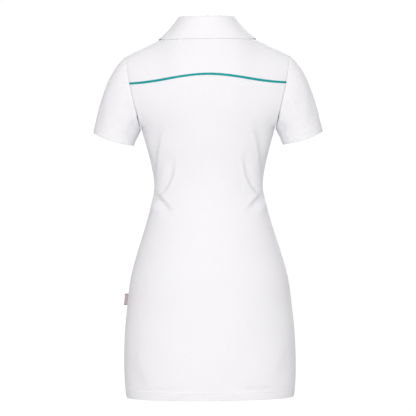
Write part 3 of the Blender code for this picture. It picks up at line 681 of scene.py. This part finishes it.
def make_sleeve(side, panels):
    ring, ring_normals, angle = sleeve_ring(panels)
    steps = with_lines(0.0, SLEEVE_LENGTH, SLEEVE_ROW_STEP,
                       [0.0, SLEEVE_LENGTH - SLEEVE_HEM_DEPTH, SLEEVE_LENGTH])[:, None]
    t = steps / SLEEVE_LENGTH
    past, outside = SLEEVE_STARTS
    start = ring + unit(sleeve_point(ring, angle, 0.05) - ring) * past + ring_normals * outside
    grid = sleeve_point(start, angle, t[..., None])
    normals = grid_normals(grid, (20, 0), grid[20, 0] - grid[20].mean(axis=0), ring=True)
    # Where the seam is a ridge, the sleeve's edge lies along the body's edge
    tangent = np.roll(ring, -1, axis=0) - np.roll(ring, 1, axis=0)
    off_body = unit(np.cross(tangent, ring_normals))
    off_body *= np.sign((off_body * (grid[1] - grid[0])).sum(-1, keepdims=True))
    lean = np.maximum((normals[0] * off_body).sum(-1, keepdims=True), 0.0)
    normals[0] = unit(normals[0] - off_body * lean)

    down, along = arc_lengths(grid), arc_lengths(grid, 1, ring=True)[:, :-1]
    to_hem = down[-1] - down
    in_hem = smooth_step((SLEEVE_HEM_DEPTH - to_hem) / 1.6)
    thickness = mix(CLOTH, HEM_CLOTH, in_hem)
    turned, below = np.broadcast_arrays(
        np.where(angle > math.pi, angle - 2 * math.pi, angle) * SLEEVE_RADIUS, steps)
    near_armpit = smooth_step((ARMPIT_Z + ARMPIT_TUCK_HEIGHT - ring[:, 2]) / 8.0)
    relief = (crease_relief(SLEEVE_CREASES, side, turned, below,
                            (math.radians(SLEEVE_RADIUS), SLEEVE_LENGTH))
              + unevenness(60.0 * np.sin(angle), below + 60.0 * np.cos(angle), 1.3 * side)
              * smooth_step(t * 4.0)
              + seam_relief(down, mix(ARMHOLE_SINK, ARMPIT_SINK, near_armpit))
              + SLEEVE_HEM_PROUD * in_hem)
    for depth in HEM_STITCH_DEPTHS:
        relief += stitch_relief(to_hem - SLEEVE_HEM_DEPTH - depth, along)
    mirror = vector(side, 1, 1)
    return Shell(grid * mirror, normals * mirror, thickness, relief,
                 edge_inset(to_hem, thickness), ring=True)


# Collar

def around(angle, x, z, depth, drop):
    """Oval round the neck at angles from the centre back, on the wearer's left. The depth
    and the drop behind and in front go by side."""
    sine, cosine = np.sin(np.radians(angle)), np.cos(np.radians(angle))
    deep, low = (np.where(cosine >= 0, pair[BACK], pair[FRONT]) for pair in (depth, drop))
    return np.stack([x * sine, deep * cosine, z - low * np.abs(cosine)], -1)


def leaf_edge_point(angle):
    """Edge of the leaf, lying just clear of the body."""
    x, z = (read_table(LEAF_EDGE, LEAF_EDGE_COLUMNS, column, angle) for column in ("x", "height"))
    points = []
    for side in (BACK, FRONT):
        share = share_at(side, x, z)
        low = np.minimum(z, top_z(side, share) - 0.5)
        points.append(body_point(side, share, low) + body_normal(side, share, low) * LEAF_CLEAR)
    over = smooth_step((angle - 82.0) / 16.0)[:, None]
    return mix(*points, over) + Z * LEAF_LIFT * 4 * over * (1 - over)


def leaning(grid):
    """The collar leans a little to the wearer's left, as worn."""
    return grid + X * COLLAR_LEAN * smooth_step((grid[..., 2:] + 5.0) / 50.0)


def leaf_profile(angle):
    """Points across the leaf, from its seam inside the neck over the fold to its edge."""
    low, high, turn = around(angle, *NECK), around(angle, *FOLD), np.radians(angle)
    out = np.stack([np.sin(turn), np.cos(turn), 0.0 * turn], -1)
    seam = mix(low, high, STAND_SHARE)
    up = unit(high - seam)
    profile = [seam + up * 3 * SEAM_GAP - out * COLLAR_CLOTH,
               high - up * 2.6 - out * COLLAR_CLOTH,
               high - out * 0.9 + up * 0.6,
               high + out * 1.8 + Z * 1.6,
               high + out * (FOLD_ROLL - 2.0) + Z * 0.9]
    fall, edge = high + out * FOLD_ROLL - Z * 1.8, leaf_edge_point(angle)
    sag = (LEAF_SAG * np.sin(turn)**4)[:, None] * unit(out + Z * 0.7)
    for t in (0.0, 0.12, 0.3, 0.5, 0.7, 0.87, 1.0):
        profile.append(mix(fall, edge, t) - sag * math.sin(math.pi * t))
    return np.stack(profile)


def resampled(grid, shares):
    """A grid whose rows lie at the given shares of the way along its columns."""
    along = arc_lengths(grid)
    return np.stack([interpolated(shares, lengths / lengths[-1], column)
                     for lengths, column in zip(along.T, np.moveaxis(grid, 1, 0))], 1)


def make_leaf():
    angles = np.linspace(0.0, LEAF_END_ANGLE, COLLAR_COLUMNS)
    profile = leaf_profile(angles)
    stations = np.arange(float(len(profile)))
    finer = np.linspace(0.0, stations[-1], 6 * len(profile) - 5)
    profile = smooth_curve(stations, profile.T, finer).T
    width = float(arc_lengths(profile)[-1, 0])
    marks = [width - into for into in COLLAR_STITCH_IN] + [width]
    grid = leaning(mirrored(resampled(profile, with_lines(0.0, width, 2.0, marks) / width)))
    normals = grid_normals(grid, (-3, grid.shape[1] // 2), Y)
    across, along = arc_lengths(grid, 1), arc_lengths(grid)
    into_leaf = np.minimum(along[-1] - along, to_ends(across))
    seams = 0.3 * bell(into_leaf, 7.2, 2.2) + sum(
        stitch_relief(into_leaf - into, across, 0.75, 1.6) for into in COLLAR_STITCH_IN)
    past_fold = smooth_step((along - LEAF_PAST_FOLD) / 10.0)
    relief = 0.25 * unevenness(grid[..., 0], grid[..., 2], 2.2) + seams * past_fold
    return Shell(grid, normals, COLLAR_CLOTH, relief, edge_inset(into_leaf, COLLAR_CLOTH))


def make_stand():
    angles = np.linspace(0.0, 179.65, COLLAR_COLUMNS)
    low = around(angles, *NECK) - Z * SEAM_GAP
    high = mix(low, around(angles, *FOLD), STAND_SHARE + 0.02)
    grid = leaning(mirrored(mix(low, high, np.linspace(0.0, 1.0, 9)[:, None, None])))
    outward = unit(grid * vector(1 / NECK_X, 1 / NECK_DEPTH[BACK], 0.0))
    return Shell(grid, outward, COLLAR_CLOTH, 0.0 * grid[..., 0])


# Placket

def strip_shell(from_x, to_x, raised, proud, short):
    """A strip on the front's form, moved out, its top end short of the neck."""
    x = np.linspace(from_x, to_x, PLACKET_COLUMNS + 1)
    low, high = PLACKET_END_Z + SEAM_GAP + 0.0 * x, top_z(FRONT, np.abs(x) / TIP_X) - short
    z = upper_rows(low, high, (0.01, PLACKET_STITCH_IN, PLACKET_BAR_UP))
    grid = body_point(FRONT, share_at(FRONT, np.abs(x), z), z) - Y * SEAM_GAP / 2
    grid[..., 0] = x
    up, across = arc_lengths(grid), arc_lengths(grid, 1)
    to_edge = np.minimum(to_ends(across), up)
    relief = (raised + proud * smooth_step(to_edge / 1.0)
              + stitch_relief(to_edge - PLACKET_STITCH_IN, up))
    return Shell(grid, grid_normals(grid, (0, 0), -Y), STRIP_CLOTH + proud, relief,
                 edge_inset(to_edge, STRIP_CLOTH))


# Piping

def make_piping_rings():
    """Oval rings along the yoke seam, narrower at both ends."""
    shares = half_shares()
    z = yoke_seam_z(shares) + vector(-2.0, 0.0, 2.0)[:, None]
    below, middle, above = mirrored(body_point(BACK, shares, z))
    up = unit(above - below)
    out = unit(np.cross(up, unit(np.gradient(middle, axis=0))))
    out *= np.sign(out[len(out) // 2, 1])
    to_end = to_ends(arc_lengths(middle[None], 1))[0]
    taper = np.sqrt(1.0 - np.clip(1.0 - to_end / 1.2, 0.0, 0.6)**2)[:, None]
    middle = middle + Y * SEAM_GAP / 2 + out * (PIPING_PROUD - CLOTH) / 2
    rings = []
    for turn in np.linspace(0.0, 2 * math.pi, 20, endpoint=False):
        high = PIPING_HALF * math.copysign(abs(math.cos(turn))**0.8, math.cos(turn))
        deep = (CLOTH + PIPING_PROUD) / 2 * math.sin(turn)
        rings.append(middle + (up * high + out * deep) * taper)
    return np.stack(rings, axis=1)


# Meshes

def new_piece(name, points, faces, material, uvs=None, sharp=50.0):
    mesh = bpy.data.meshes.new(name)
    mesh.from_pydata((points * MM).tolist(), [], [list(face) for face in faces])
    if uvs is not None:
        layer = mesh.uv_layers.new(name="cloth")
        layer.data.foreach_set("uv", (uvs * MM).astype(np.float32).ravel())
    mesh.materials.append(material)
    mesh.shade_smooth()
    mesh.set_sharp_from_angle(angle=math.radians(sharp))
    piece = bpy.data.objects.new(name, mesh)
    bpy.context.scene.collection.objects.link(piece)
    return piece


def shell_piece(name, shell, material, kept=None):
    """Closed wall with both faces of a shell and a rim round every open edge. It may keep
    only some of the shell's cells."""
    rows, count = shell.outer.shape[:2]
    if kept is None:
        kept = np.ones((rows - 1, count if shell.ring else count - 1), bool)
    side = np.pad(kept, ((0, 0), (1, 1)), "wrap" if shell.ring else "constant")
    level = np.pad(kept, ((1, 1), (0, 0)))
    across = shell.across if shell.ring else shell.across - shell.across[:, [shell.centre]]
    faces, uvs = [], []

    def add(mask, *corners):
        r, c = np.nonzero(mask)
        faces.append(np.stack([layer * rows * count + (r + dr) * count + (c + dc) % count
                               for layer, dr, dc in corners], -1))
        uvs.append(np.stack([np.stack([across[r + dr, c + dc], shell.along[r + dr, c + dc]], -1)
                             for _, dr, dc in corners], 1))

    add(kept, (0, 0, 0), (0, 0, 1), (0, 1, 1), (0, 1, 0))
    add(kept, (1, 1, 0), (1, 1, 1), (1, 0, 1), (1, 0, 0))
    add(kept & ~level[:-2], (0, 0, 1), (0, 0, 0), (1, 0, 0), (1, 0, 1))
    add(kept & ~level[2:], (0, 1, 0), (0, 1, 1), (1, 1, 1), (1, 1, 0))
    add(kept & ~side[:, :-2], (0, 0, 0), (0, 1, 0), (1, 1, 0), (1, 0, 0))
    add(kept & ~side[:, 2:], (0, 1, 1), (0, 0, 1), (1, 0, 1), (1, 1, 1))
    faces, uvs = np.concatenate(faces), np.concatenate(uvs)
    points = np.concatenate([shell.outer.reshape(-1, 3), shell.inner.reshape(-1, 3)])
    probe = faces[len(faces) // 5]
    a, b, c, d = points[probe]
    if np.dot(np.cross(c - a, d - b), shell.normals.reshape(-1, 3)[probe[0]]) < 0:
        faces, uvs = faces[:, ::-1], uvs[:, ::-1]
    used, faces = np.unique(faces, return_inverse=True)
    return new_piece(name, points[used], faces.reshape(-1, 4), material, uvs)


def tube_faces(rings, corners):
    """Faces of a closed tube whose points are listed ring by ring."""
    low, c = np.meshgrid(np.arange(rings - 1) * corners, np.arange(corners), indexing="ij")
    high, d = low + corners, (c + 1) % corners
    quads = np.stack([low + c, low + d, high + d, high + c], -1).reshape(-1, 4)
    first = list(range(corners))
    return quads.tolist() + [first[::-1], [(rings - 1) * corners + k for k in first]]


def tube_piece(name, rings, material):
    """Closed tube through rings of points."""
    count, corners = rings.shape[:2]
    r, c = np.meshgrid(np.arange(count - 1), np.arange(corners), indexing="ij")
    length = arc_lengths(rings)[:, 0]
    uv = np.stack([np.stack([(c + dc) * 0.7, length[r + dr]], -1)
                   for dr, dc in ((0, 0), (0, 1), (1, 1), (1, 0))], 2)
    uv = np.concatenate([uv.reshape(-1, 2), np.zeros((2 * corners, 2))])
    return new_piece(name, rings.reshape(-1, 3), tube_faces(count, corners), material, uv)


# Stitches: short threads that dip into the cloth at both ends

def walked(path, normals, pitch):
    """Places a pitch apart along a path, with the path's direction and normal there."""
    path, normals, lengths = np.array(path), np.array(normals), arc_lengths(path)
    at = np.arange(pitch / 2, lengths[-1], pitch)
    behind, centre, ahead = (interpolated(at + step, lengths, path) for step in (-0.3, 0.0, 0.3))
    return centre, unit(ahead - behind), unit(interpolated(at, lengths, normals))


def stitches(name, paths, material, pitch=STITCH_PITCH, length=STITCH_LENGTH,
             radius=THREAD_RADIUS):
    """One mesh with a thread for every stitch of every path."""
    turns = np.arange(THREAD_CORNERS) * 2 * math.pi / THREAD_CORNERS
    threads = []
    for path, normals in paths:
        centre, along, normal = walked(path, normals, pitch)
        beside = np.cross(along, normal)
        threads.append(np.stack([centre + along * share * length
                                 + normal * radius * (lift + thick * math.sin(turn))
                                 + beside * radius * thick * math.cos(turn)
                                 for share, thick, lift in THREAD_STATIONS for turn in turns], 1))
    threads = np.concatenate(threads)
    count = threads.shape[1]
    one = tube_faces(len(THREAD_STATIONS), THREAD_CORNERS)
    faces = [[start + corner for corner in face]
             for start in range(0, len(threads) * count, count) for face in one]
    return new_piece(name, threads.reshape(-1, 3), faces, material, sharp=80.0)


def nearest(values, wanted):
    return int(np.abs(values - wanted).argmin())


def nearest_row(shell, length):
    """Row at this length from the first one, or from the last one if it is negative."""
    along = shell.along[:, shell.centre]
    return nearest(along, length if length >= 0 else along[-1] + length)


def path_on(shell, *parts):
    """Points and normals along parts of a shell's outer face, each by rows and columns."""
    return tuple(np.concatenate([values[part].reshape(-1, 3) for part in parts])
                 for values in (shell.outer, shell.normals))


def edge_path(shell, row, into, there, back):
    """Path by the rows there at one end of a shell, along a row, and by the rows back at
    the other end, all this far in from the edges."""
    across = shell.across[row]
    first, last = nearest(across - across[0], into), nearest(across[-1] - across, into)
    return path_on(shell, (there, first), (row, slice(first, last + 1)), (back, last))


def outside_slit(front):
    """Cells of the front panel that the placket's slit leaves."""
    x = (front.plain[1:, 1:, 0] + front.plain[:-1, :-1, 0]) / 2
    z = (front.plain[1:, 1:, 2] + front.plain[:-1, :-1, 2]) / 2
    return (np.abs(x) > PLACKET_HALF) | (z < PLACKET_END_Z)


def make_stitching(panels, sleeves, leaf, upper, thread):
    back, yoke, front = panels
    every = slice(None)
    hem = [path_on(shell, (nearest(shell.outer[:, shell.centre, 2], HEM_TOP + depth), every))
           for shell in (back, front) for depth in HEM_STITCH_DEPTHS]
    cuffs = []
    for shell in sleeves:
        for depth in HEM_STITCH_DEPTHS:
            row = nearest_row(shell, -(SLEEVE_HEM_DEPTH + depth))
            cuffs.append(path_on(shell, (row, every), (row, 0)))
    row = nearest_row(yoke, -SHOULDER_STITCH_DOWN)
    first, *_, last = np.nonzero(yoke.outer[row, :, 0] > NECK_X + 1.0)[0]
    seams = [path_on(back, (nearest_row(back, -PIPING_STITCH_OUT), every)),
             path_on(yoke, (nearest_row(yoke, PIPING_STITCH_OUT), every)),
             path_on(yoke, (row, slice(first, last - 3))),
             path_on(yoke, (row, slice(yoke.last - last + 4, yoke.last - first + 1)))]
    armholes = []
    for shell in panels:
        rows = np.nonzero(shell.plain[:, -1, 2] > ARMPIT_Z + 6.0)[0]
        across = shell.across[-12]  # a row beside the upper part of the armhole
        column = nearest(across[-1] - across, ARMHOLE_STITCH_IN)
        armholes += [path_on(shell, (rows, c)) for c in (column, shell.last - column)]
    start = nearest_row(leaf, COLLAR_STITCH_FROM * leaf.along[-1, leaf.centre])
    collar = []
    for into in COLLAR_STITCH_IN:
        row = nearest_row(leaf, -into)
        collar.append(edge_path(leaf, row, into, slice(start, row), slice(row - 1, start, -1)))
    row = nearest_row(upper, PLACKET_STITCH_IN)
    placket = [edge_path(upper, row, PLACKET_STITCH_IN, slice(None, row, -1), slice(row + 1, None)),
               path_on(upper, (nearest_row(upper, PLACKET_BAR_UP), slice(2, -2)))]
    return [stitches("stitches_hem", hem, thread),
            stitches("stitches_sleeve_hems", cuffs, thread),
            stitches("stitches_yoke", seams, thread),
            stitches("stitches_armholes", armholes, thread),
            stitches("stitches_collar", collar, thread, **FINE_STITCHES),
            stitches("stitches_placket", placket, thread, **FINE_STITCHES)]


# Materials

class Nodes:
    """Short form for building a material's nodes."""

    def __init__(self, name):
        self.material = bpy.data.materials.new(name)
        self.material.use_nodes = True
        self.tree = self.material.node_tree

    def fill(self, sockets, values):
        for socket, value in zip(sockets, values):
            if isinstance(value, bpy.types.NodeSocket):
                self.tree.links.new(value, socket)
            else:
                socket.default_value = value

    def add(self, kind, output, *numbered, **named):
        """Output of a new node. Small names are its settings and capital ones its inputs."""
        node = self.tree.nodes.new("ShaderNode" + kind)
        self.fill(node.inputs, numbered)
        for key, value in named.items():
            if key[0].islower():
                setattr(node, key, value)
            else:
                self.fill([node.inputs[key.replace("_", " ")]], [value])
        return node.outputs[output]

    def cloth(self):
        """Place along and across the cloth, in metres."""
        return self.add("UVMap", "UV", uv_map="cloth")

    def bump(self, height, strength, depth, **more):
        return self.add("Bump", "Normal", Height=height, Strength=strength,
                        Distance=depth * MM, **more)

    def ramp(self, share, low, high, start=0.0, end=1.0):
        """Colour that goes from low to high while the share goes from start to end."""
        colour = self.add("ValToRGB", "Color", Fac=share)
        stops = colour.node.color_ramp.elements
        for stop, position, rgb in zip(stops, (start, end), (low, high)):
            stop.position, stop.color = position, (*rgb, 1.0)
        return colour

    def finish(self, **inputs):
        sockets = self.tree.nodes["Principled BSDF"].inputs
        self.fill([sockets[key.replace("_", " ")] for key in inputs], inputs.values())
        return self.material


def knit_material(name, colour, cell, roughness, relief):
    """A knit cloth: small regular cells, slightly uneven, with a soft nap."""
    nodes = Nodes(name)
    uv, scale = nodes.cloth(), 1.0 / (cell * MM)
    placed = nodes.add("Mapping", "Vector", Vector=uv, Scale=(scale, scale * 0.86, scale),
                       Rotation=(0.0, 0.0, math.radians(45.0)))
    cells = nodes.add("TexVoronoi", "Distance", voronoi_dimensions="2D", feature="F1",
                      Vector=placed, Scale=1.0, Randomness=0.12)
    slack, tone = (nodes.add("TexNoise", "Fac", noise_dimensions="2D", Vector=uv, Scale=size,
                             Detail=detail, Roughness=rough)
                   for size, detail, rough in ((70.0, 3.0, 0.55), (420.0, 2.0, 0.6)))
    soft = nodes.bump(slack, 0.5, 0.6)
    return nodes.finish(Base_Color=nodes.ramp(tone, [c * 0.955 for c in colour], colour, 0.3, 0.62),
                        Normal=nodes.bump(cells, relief, 0.45, invert=True, Normal=soft),
                        Roughness=roughness, Specular_IOR_Level=0.25,
                        Sheen_Weight=0.12, Sheen_Roughness=0.45)


def thread_material():
    nodes = Nodes("sewing_thread")
    tone = nodes.add("TexNoise", "Fac", Scale=2600.0, Detail=1.0)
    return nodes.finish(Base_Color=nodes.ramp(tone, (0.80, 0.81, 0.84), (0.92, 0.93, 0.95)),
                        Roughness=0.55, Sheen_Weight=0.2)


def piping_material():
    """Teal satin strip: fine slanting ribs with a slight shine."""
    nodes = Nodes("teal_piping")
    uv = nodes.cloth()
    ribs = nodes.add("TexWave", "Fac", wave_type="BANDS", bands_direction="DIAGONAL", Vector=uv,
                     Scale=320.0, Distortion=1.2, Detail=1.0)
    tone = nodes.add("TexNoise", "Fac", Vector=uv, Scale=90.0, Detail=3.0)
    teal = nodes.ramp(tone, (0.001, 0.285, 0.290), (0.002, 0.358, 0.365), 0.3, 0.7)
    return nodes.finish(Base_Color=teal, Normal=nodes.bump(ribs, 0.35, 0.15), Roughness=0.62,
                        Specular_IOR_Level=0.18)


def button_material():
    """Polished plastic with faint cloudy bands, like pearl."""
    nodes = Nodes("button_plastic")
    bands = nodes.add("TexWave", "Fac", wave_type="BANDS", Vector=nodes.add("TexCoord", "Object"),
                      Scale=90.0, Distortion=9.0, Detail=2.0)
    return nodes.finish(Base_Color=nodes.ramp(bands, (0.78, 0.79, 0.80), (0.88, 0.89, 0.90)),
                        Roughness=0.22, Coat_Weight=0.3, Coat_Roughness=0.12)


def label_material():
    """Woven satin tape: fine level ribs and a darker woven border."""
    nodes = Nodes("label_tape")
    uv, half = nodes.cloth(), LABEL_HEIGHT / 2
    ribs = nodes.add("TexWave", "Fac", wave_type="BANDS", bands_direction="Y", Vector=uv,
                     Scale=480.0, Distortion=0.4)
    height = nodes.add("SeparateXYZ", "Y", Vector=uv)
    middle = nodes.add("Math", 0, height, half * MM, operation="SUBTRACT")
    away = nodes.add("Math", 0, middle, operation="ABSOLUTE")
    border = nodes.add("Math", 0, away, (half - LABEL_BORDER) * MM, operation="GREATER_THAN")
    return nodes.finish(Base_Color=nodes.ramp(border, (0.45, 0.36, 0.38), (0.20, 0.17, 0.20)),
                        Normal=nodes.bump(ribs, 0.4, 0.1), Roughness=0.6, Sheen_Weight=0.2)


# Buttons and buttonholes

def front_at(z):
    """Place and outward direction of the placket's surface on the centre line."""
    above, point, below = body_point(FRONT, 0.0, z + vector(5, 0, -5))
    return point - Y * SEAM_GAP / 2, unit(vector(0, -10, above[1] - below[1]))


def make_button(name, z, material):
    """Turned disc with a raised rim, a dished face and four holes."""
    bottom, *turned, top = BUTTON_PROFILE
    rings = [(r * math.cos(turn), r * math.sin(turn), h) for r, h in turned
             for turn in np.arange(BUTTON_CORNERS) * 2 * math.pi / BUTTON_CORNERS]
    quads = tube_faces(len(turned), BUTTON_CORNERS)
    faces = [[corner + 2 for corner in face] for face in quads]
    high, low = faces.pop(), faces.pop()
    faces += [(pole, *pair) for pole, ring in ((0, low), (1, high))
              for pair in zip(ring, ring[1:] + ring[:1])]
    points = np.array([(0, 0, bottom[1]), (0, 0, top[1]), *rings])
    button = new_piece(name + "_disc", points, faces, material)
    cutters = []
    for x, y in ((1, 1), (-1, 1), (-1, -1), (1, -1)):
        bpy.ops.mesh.primitive_cylinder_add(vertices=16, radius=BUTTON_HOLE_RADIUS * MM,
                                            location=vector(x, y, 0) * BUTTON_HOLE_OUT * MM,
                                            depth=6 * MM)
        cutters.append(bpy.context.object)
        cut = button.modifiers.new("Hole", "BOOLEAN")
        cut.operation, cut.object = "DIFFERENCE", cutters[-1]
    bpy.context.view_layer.update()
    pierced = bpy.data.meshes.new_from_object(
        button.evaluated_get(bpy.context.evaluated_depsgraph_get()))
    button.modifiers.clear()
    button.data = pierced
    for cutter in cutters:
        bpy.data.objects.remove(cutter)
    pierced.shade_smooth()
    pierced.set_sharp_from_angle(angle=math.radians(35))
    surface, normal = front_at(z)
    placed = Vector(normal).to_track_quat("Z", "Y").to_matrix().to_4x4()
    placed.translation = Vector((surface + normal * BUTTON_OUT) * MM)
    pierced.transform(placed)
    return button


def button_threads(material):
    """Two bars of thread through each button's holes, and its buttonhole's stitches."""
    bars, holes = [], []
    (wide, high), (length, apart) = BUTTONHOLE_HALF, BUTTONHOLE_STITCH
    for _, z in BUTTONS:
        surface, normal = front_at(z)
        up, both = unit(np.cross(-X, normal)), [normal, normal]
        face = surface + normal * (BUTTON_OUT + BAR_OUT)
        for x in (-BUTTON_HOLE_OUT, BUTTON_HOLE_OUT):
            for beside in (-BAR_THREAD_OUT, BAR_THREAD_OUT):
                bars.append(([face + X * (x + beside) + up * y
                              for y in (-BAR_HALF, BAR_HALF)], both))
        for x in (-wide, wide):
            for y in np.arange(-high, high + 0.01, apart):
                middle = surface + normal * BUTTONHOLE_OUT + X * x + up * y
                holes.append(([middle - X * length / 2, middle + X * length / 2], both))
    return [stitches("button_threads", bars, material, pitch=3.5, length=3.4, radius=0.3),
            stitches("buttonholes", holes, material, pitch=length, length=length)]


# Side label

def make_label():
    """Tape folded once, its ends in the side seam and its fold standing out."""
    z = with_lines(LABEL_TOP_Z - LABEL_HEIGHT, LABEL_TOP_Z, 1.5, [])
    start = section("half_width", z) + 0.4
    bend = 1.1 * np.sin((z - LABEL_TOP_Z) / LABEL_HEIGHT * math.pi)
    rows = []
    for short, y in LABEL_OUTLINE:
        x = start + LABEL_OUT - short
        out = np.clip((x - start) / LABEL_OUT, 0.0, 1.0)
        rows.append(np.stack([x - 0.4 * out * np.abs(bend), y - bend * out**2, z], -1))
    grid = np.stack(rows, axis=1)
    normals = grid_normals(grid, (0, 4), X)
    return Shell(grid, normals, LABEL_CLOTH, 0.0 * grid[..., 0])


# Studio

def add_light(name, location, size, power, target=(0.0, 0.0, -0.42)):
    data = bpy.data.lights.new(name, "AREA")
    data.shape, data.size, data.energy, data.color = "DISK", size, power, STUDIO_TINT
    light = bpy.data.objects.new(name, data)
    light.location = location
    towards = Vector(target) - light.location
    light.rotation_euler = towards.to_track_quat("-Z", "Y").to_euler()
    bpy.context.scene.collection.objects.link(light)


def floor_material():
    """Pale and finely grained, and glowing white further out so that its rim is lost."""
    nodes = Nodes("pale_floor")
    grain = nodes.add("TexNoise", "Fac", Scale=180.0, Detail=4.0)
    far = nodes.add("VectorMath", "Value", nodes.add("TexCoord", "Object"), operation="LENGTH")
    rim = nodes.add("MapRange", "Result", Value=far, From_Min=0.8, From_Max=3.4)
    return nodes.finish(Base_Color=(0.88, 0.885, 0.89, 1.0), Roughness=0.85,
                        Normal=nodes.bump(grain, 0.1, 1.0), Emission_Color=WHITE,
                        Emission_Strength=rim)


def make_studio():
    """Pale floor where the wearer would stand, a white surround and soft lights."""
    place = (0.0, 0.0, FLOOR_Z)
    bpy.ops.mesh.primitive_circle_add(vertices=96, radius=3.6, fill_type="NGON", location=place)
    floor = bpy.context.object
    floor.name = "floor"
    floor.data.materials.append(floor_material())
    bpy.ops.mesh.primitive_uv_sphere_add(segments=64, ring_count=32, radius=14.0, location=place)
    surround = bpy.context.object
    surround.name = "surround"
    surround.data.materials.append(Nodes("white_surround").finish(
        Base_Color=(0.0, 0.0, 0.0, 1.0), Emission_Color=WHITE, Emission_Strength=1.0))
    # Neither lights the dress: the sky and the lights do
    floor.visible_diffuse = surround.visible_diffuse = surround.visible_glossy = False
    surround.visible_transmission = surround.visible_shadow = False
    world = bpy.data.worlds.new("studio")
    bpy.context.scene.world = world
    world.use_nodes = True
    sky = world.node_tree.nodes["Background"].inputs
    sky["Color"].default_value, sky["Strength"].default_value = (*STUDIO_TINT, 1.0), SKY
    add_light("key", (0.2, 3.4, 1.2), 2.0, 77.0)
    add_light("low_fill", (-0.5, 3.3, -1.0), 0.8, 5.0, (0.0, 0.0, -0.7))
    for side in (-1, 1):
        add_light("hem_fill", (0.6 * side, 0.7, -1.2), 0.4, 0.85, (0.2 * side, 0.0, -0.9))
    add_light("front_key", (-0.9, -3.3, 1.4), 2.0, 92.0)
    bpy.context.scene.view_settings.view_transform = "Standard"


def make_camera():
    data = bpy.data.cameras.new("camera")
    data.sensor_width = 36.0
    data.lens = data.sensor_width * CAMERA_DISTANCE / (PHOTO_WIDTH * METRES_PER_PIXEL)
    data.clip_end = 60.0
    camera = bpy.data.objects.new("camera", data)
    camera.location = (CAMERA_X, CAMERA_DISTANCE, CAMERA_Z)
    camera.rotation_euler = (math.pi / 2, CAMERA_ROLL, math.pi)
    bpy.context.scene.collection.objects.link(camera)
    bpy.context.scene.camera = camera


def declare(piece, slot, *nodes):
    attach(piece, "root")
    if nodes:
        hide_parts(*nodes)
    return piece


def main():
    bpy.ops.object.select_all(action="SELECT")
    bpy.ops.object.delete()
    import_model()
    make_camera()

    looks = {"white_knit": knit_material("white_pique", (0.86, 0.87, 0.90), 1.3, 0.88, 0.55),
             "collar_knit": knit_material("collar_knit", (0.87, 0.88, 0.91), 1.0, 0.86, 0.4),
             "teal_piping": piping_material(), "button_white": button_material(),
             "label_tape": label_material()}
    thread = thread_material()
    panels = back, yoke, front = make_panels()
    sleeves = [make_sleeve(side, panels) for side in (1.0, -1.0)]
    leaf = make_leaf()
    edge = PLACKET_HALF - SEAM_GAP
    upper = strip_shell(-edge, edge, SEAM_GAP, STRIP_PROUD, 2 * SEAM_GAP)
    under = strip_shell(-edge, edge + UNDER_STRIP_EXTRA, -CLOTH - 2 * SEAM_GAP, 0.0,
                        UNDER_STRIP_SHORT)

    def wall(name, shell, slot, node, kept=None):
        return declare(shell_piece(name, shell, looks[slot], kept), slot, node)

    back_wall = wall("back_shell", back, "white_knit", "back_panel")
    yoke_wall = wall("yoke_shell", yoke, "white_knit", "back_yoke")
    front_wall = wall("front_shell", front, "white_knit", "front_panel", outside_slit(front))
    for shell, name in zip(sleeves, ("sleeve_left", "sleeve_right")):
        sleeve = wall(name + "_shell", shell, "white_knit", name)
    leaf_wall = wall("collar_leaf_shell", leaf, "collar_knit", "collar_leaf")
    stand_wall = wall("collar_stand_shell", make_stand(), "collar_knit", "collar_stand")
    upper_wall = wall("placket_upper_shell", upper, "collar_knit", "placket_upper")
    under_wall = wall("placket_under_shell", under, "collar_knit", "placket_under")
    piping = declare(tube_piece("piping_strip", make_piping_rings(), looks["teal_piping"]),
                     "teal_piping", "piping")
    label = wall("side_label_tape", make_label(), "label_tape", "side_label")
    buttons = [declare(make_button(name, z, looks["button_white"]), "button_white", name)
               for name, z in BUTTONS]
    for piece in make_stitching(panels, sleeves, leaf, upper, thread) + button_threads(thread):
        declare(piece, "white_knit")

    make_studio()


main()
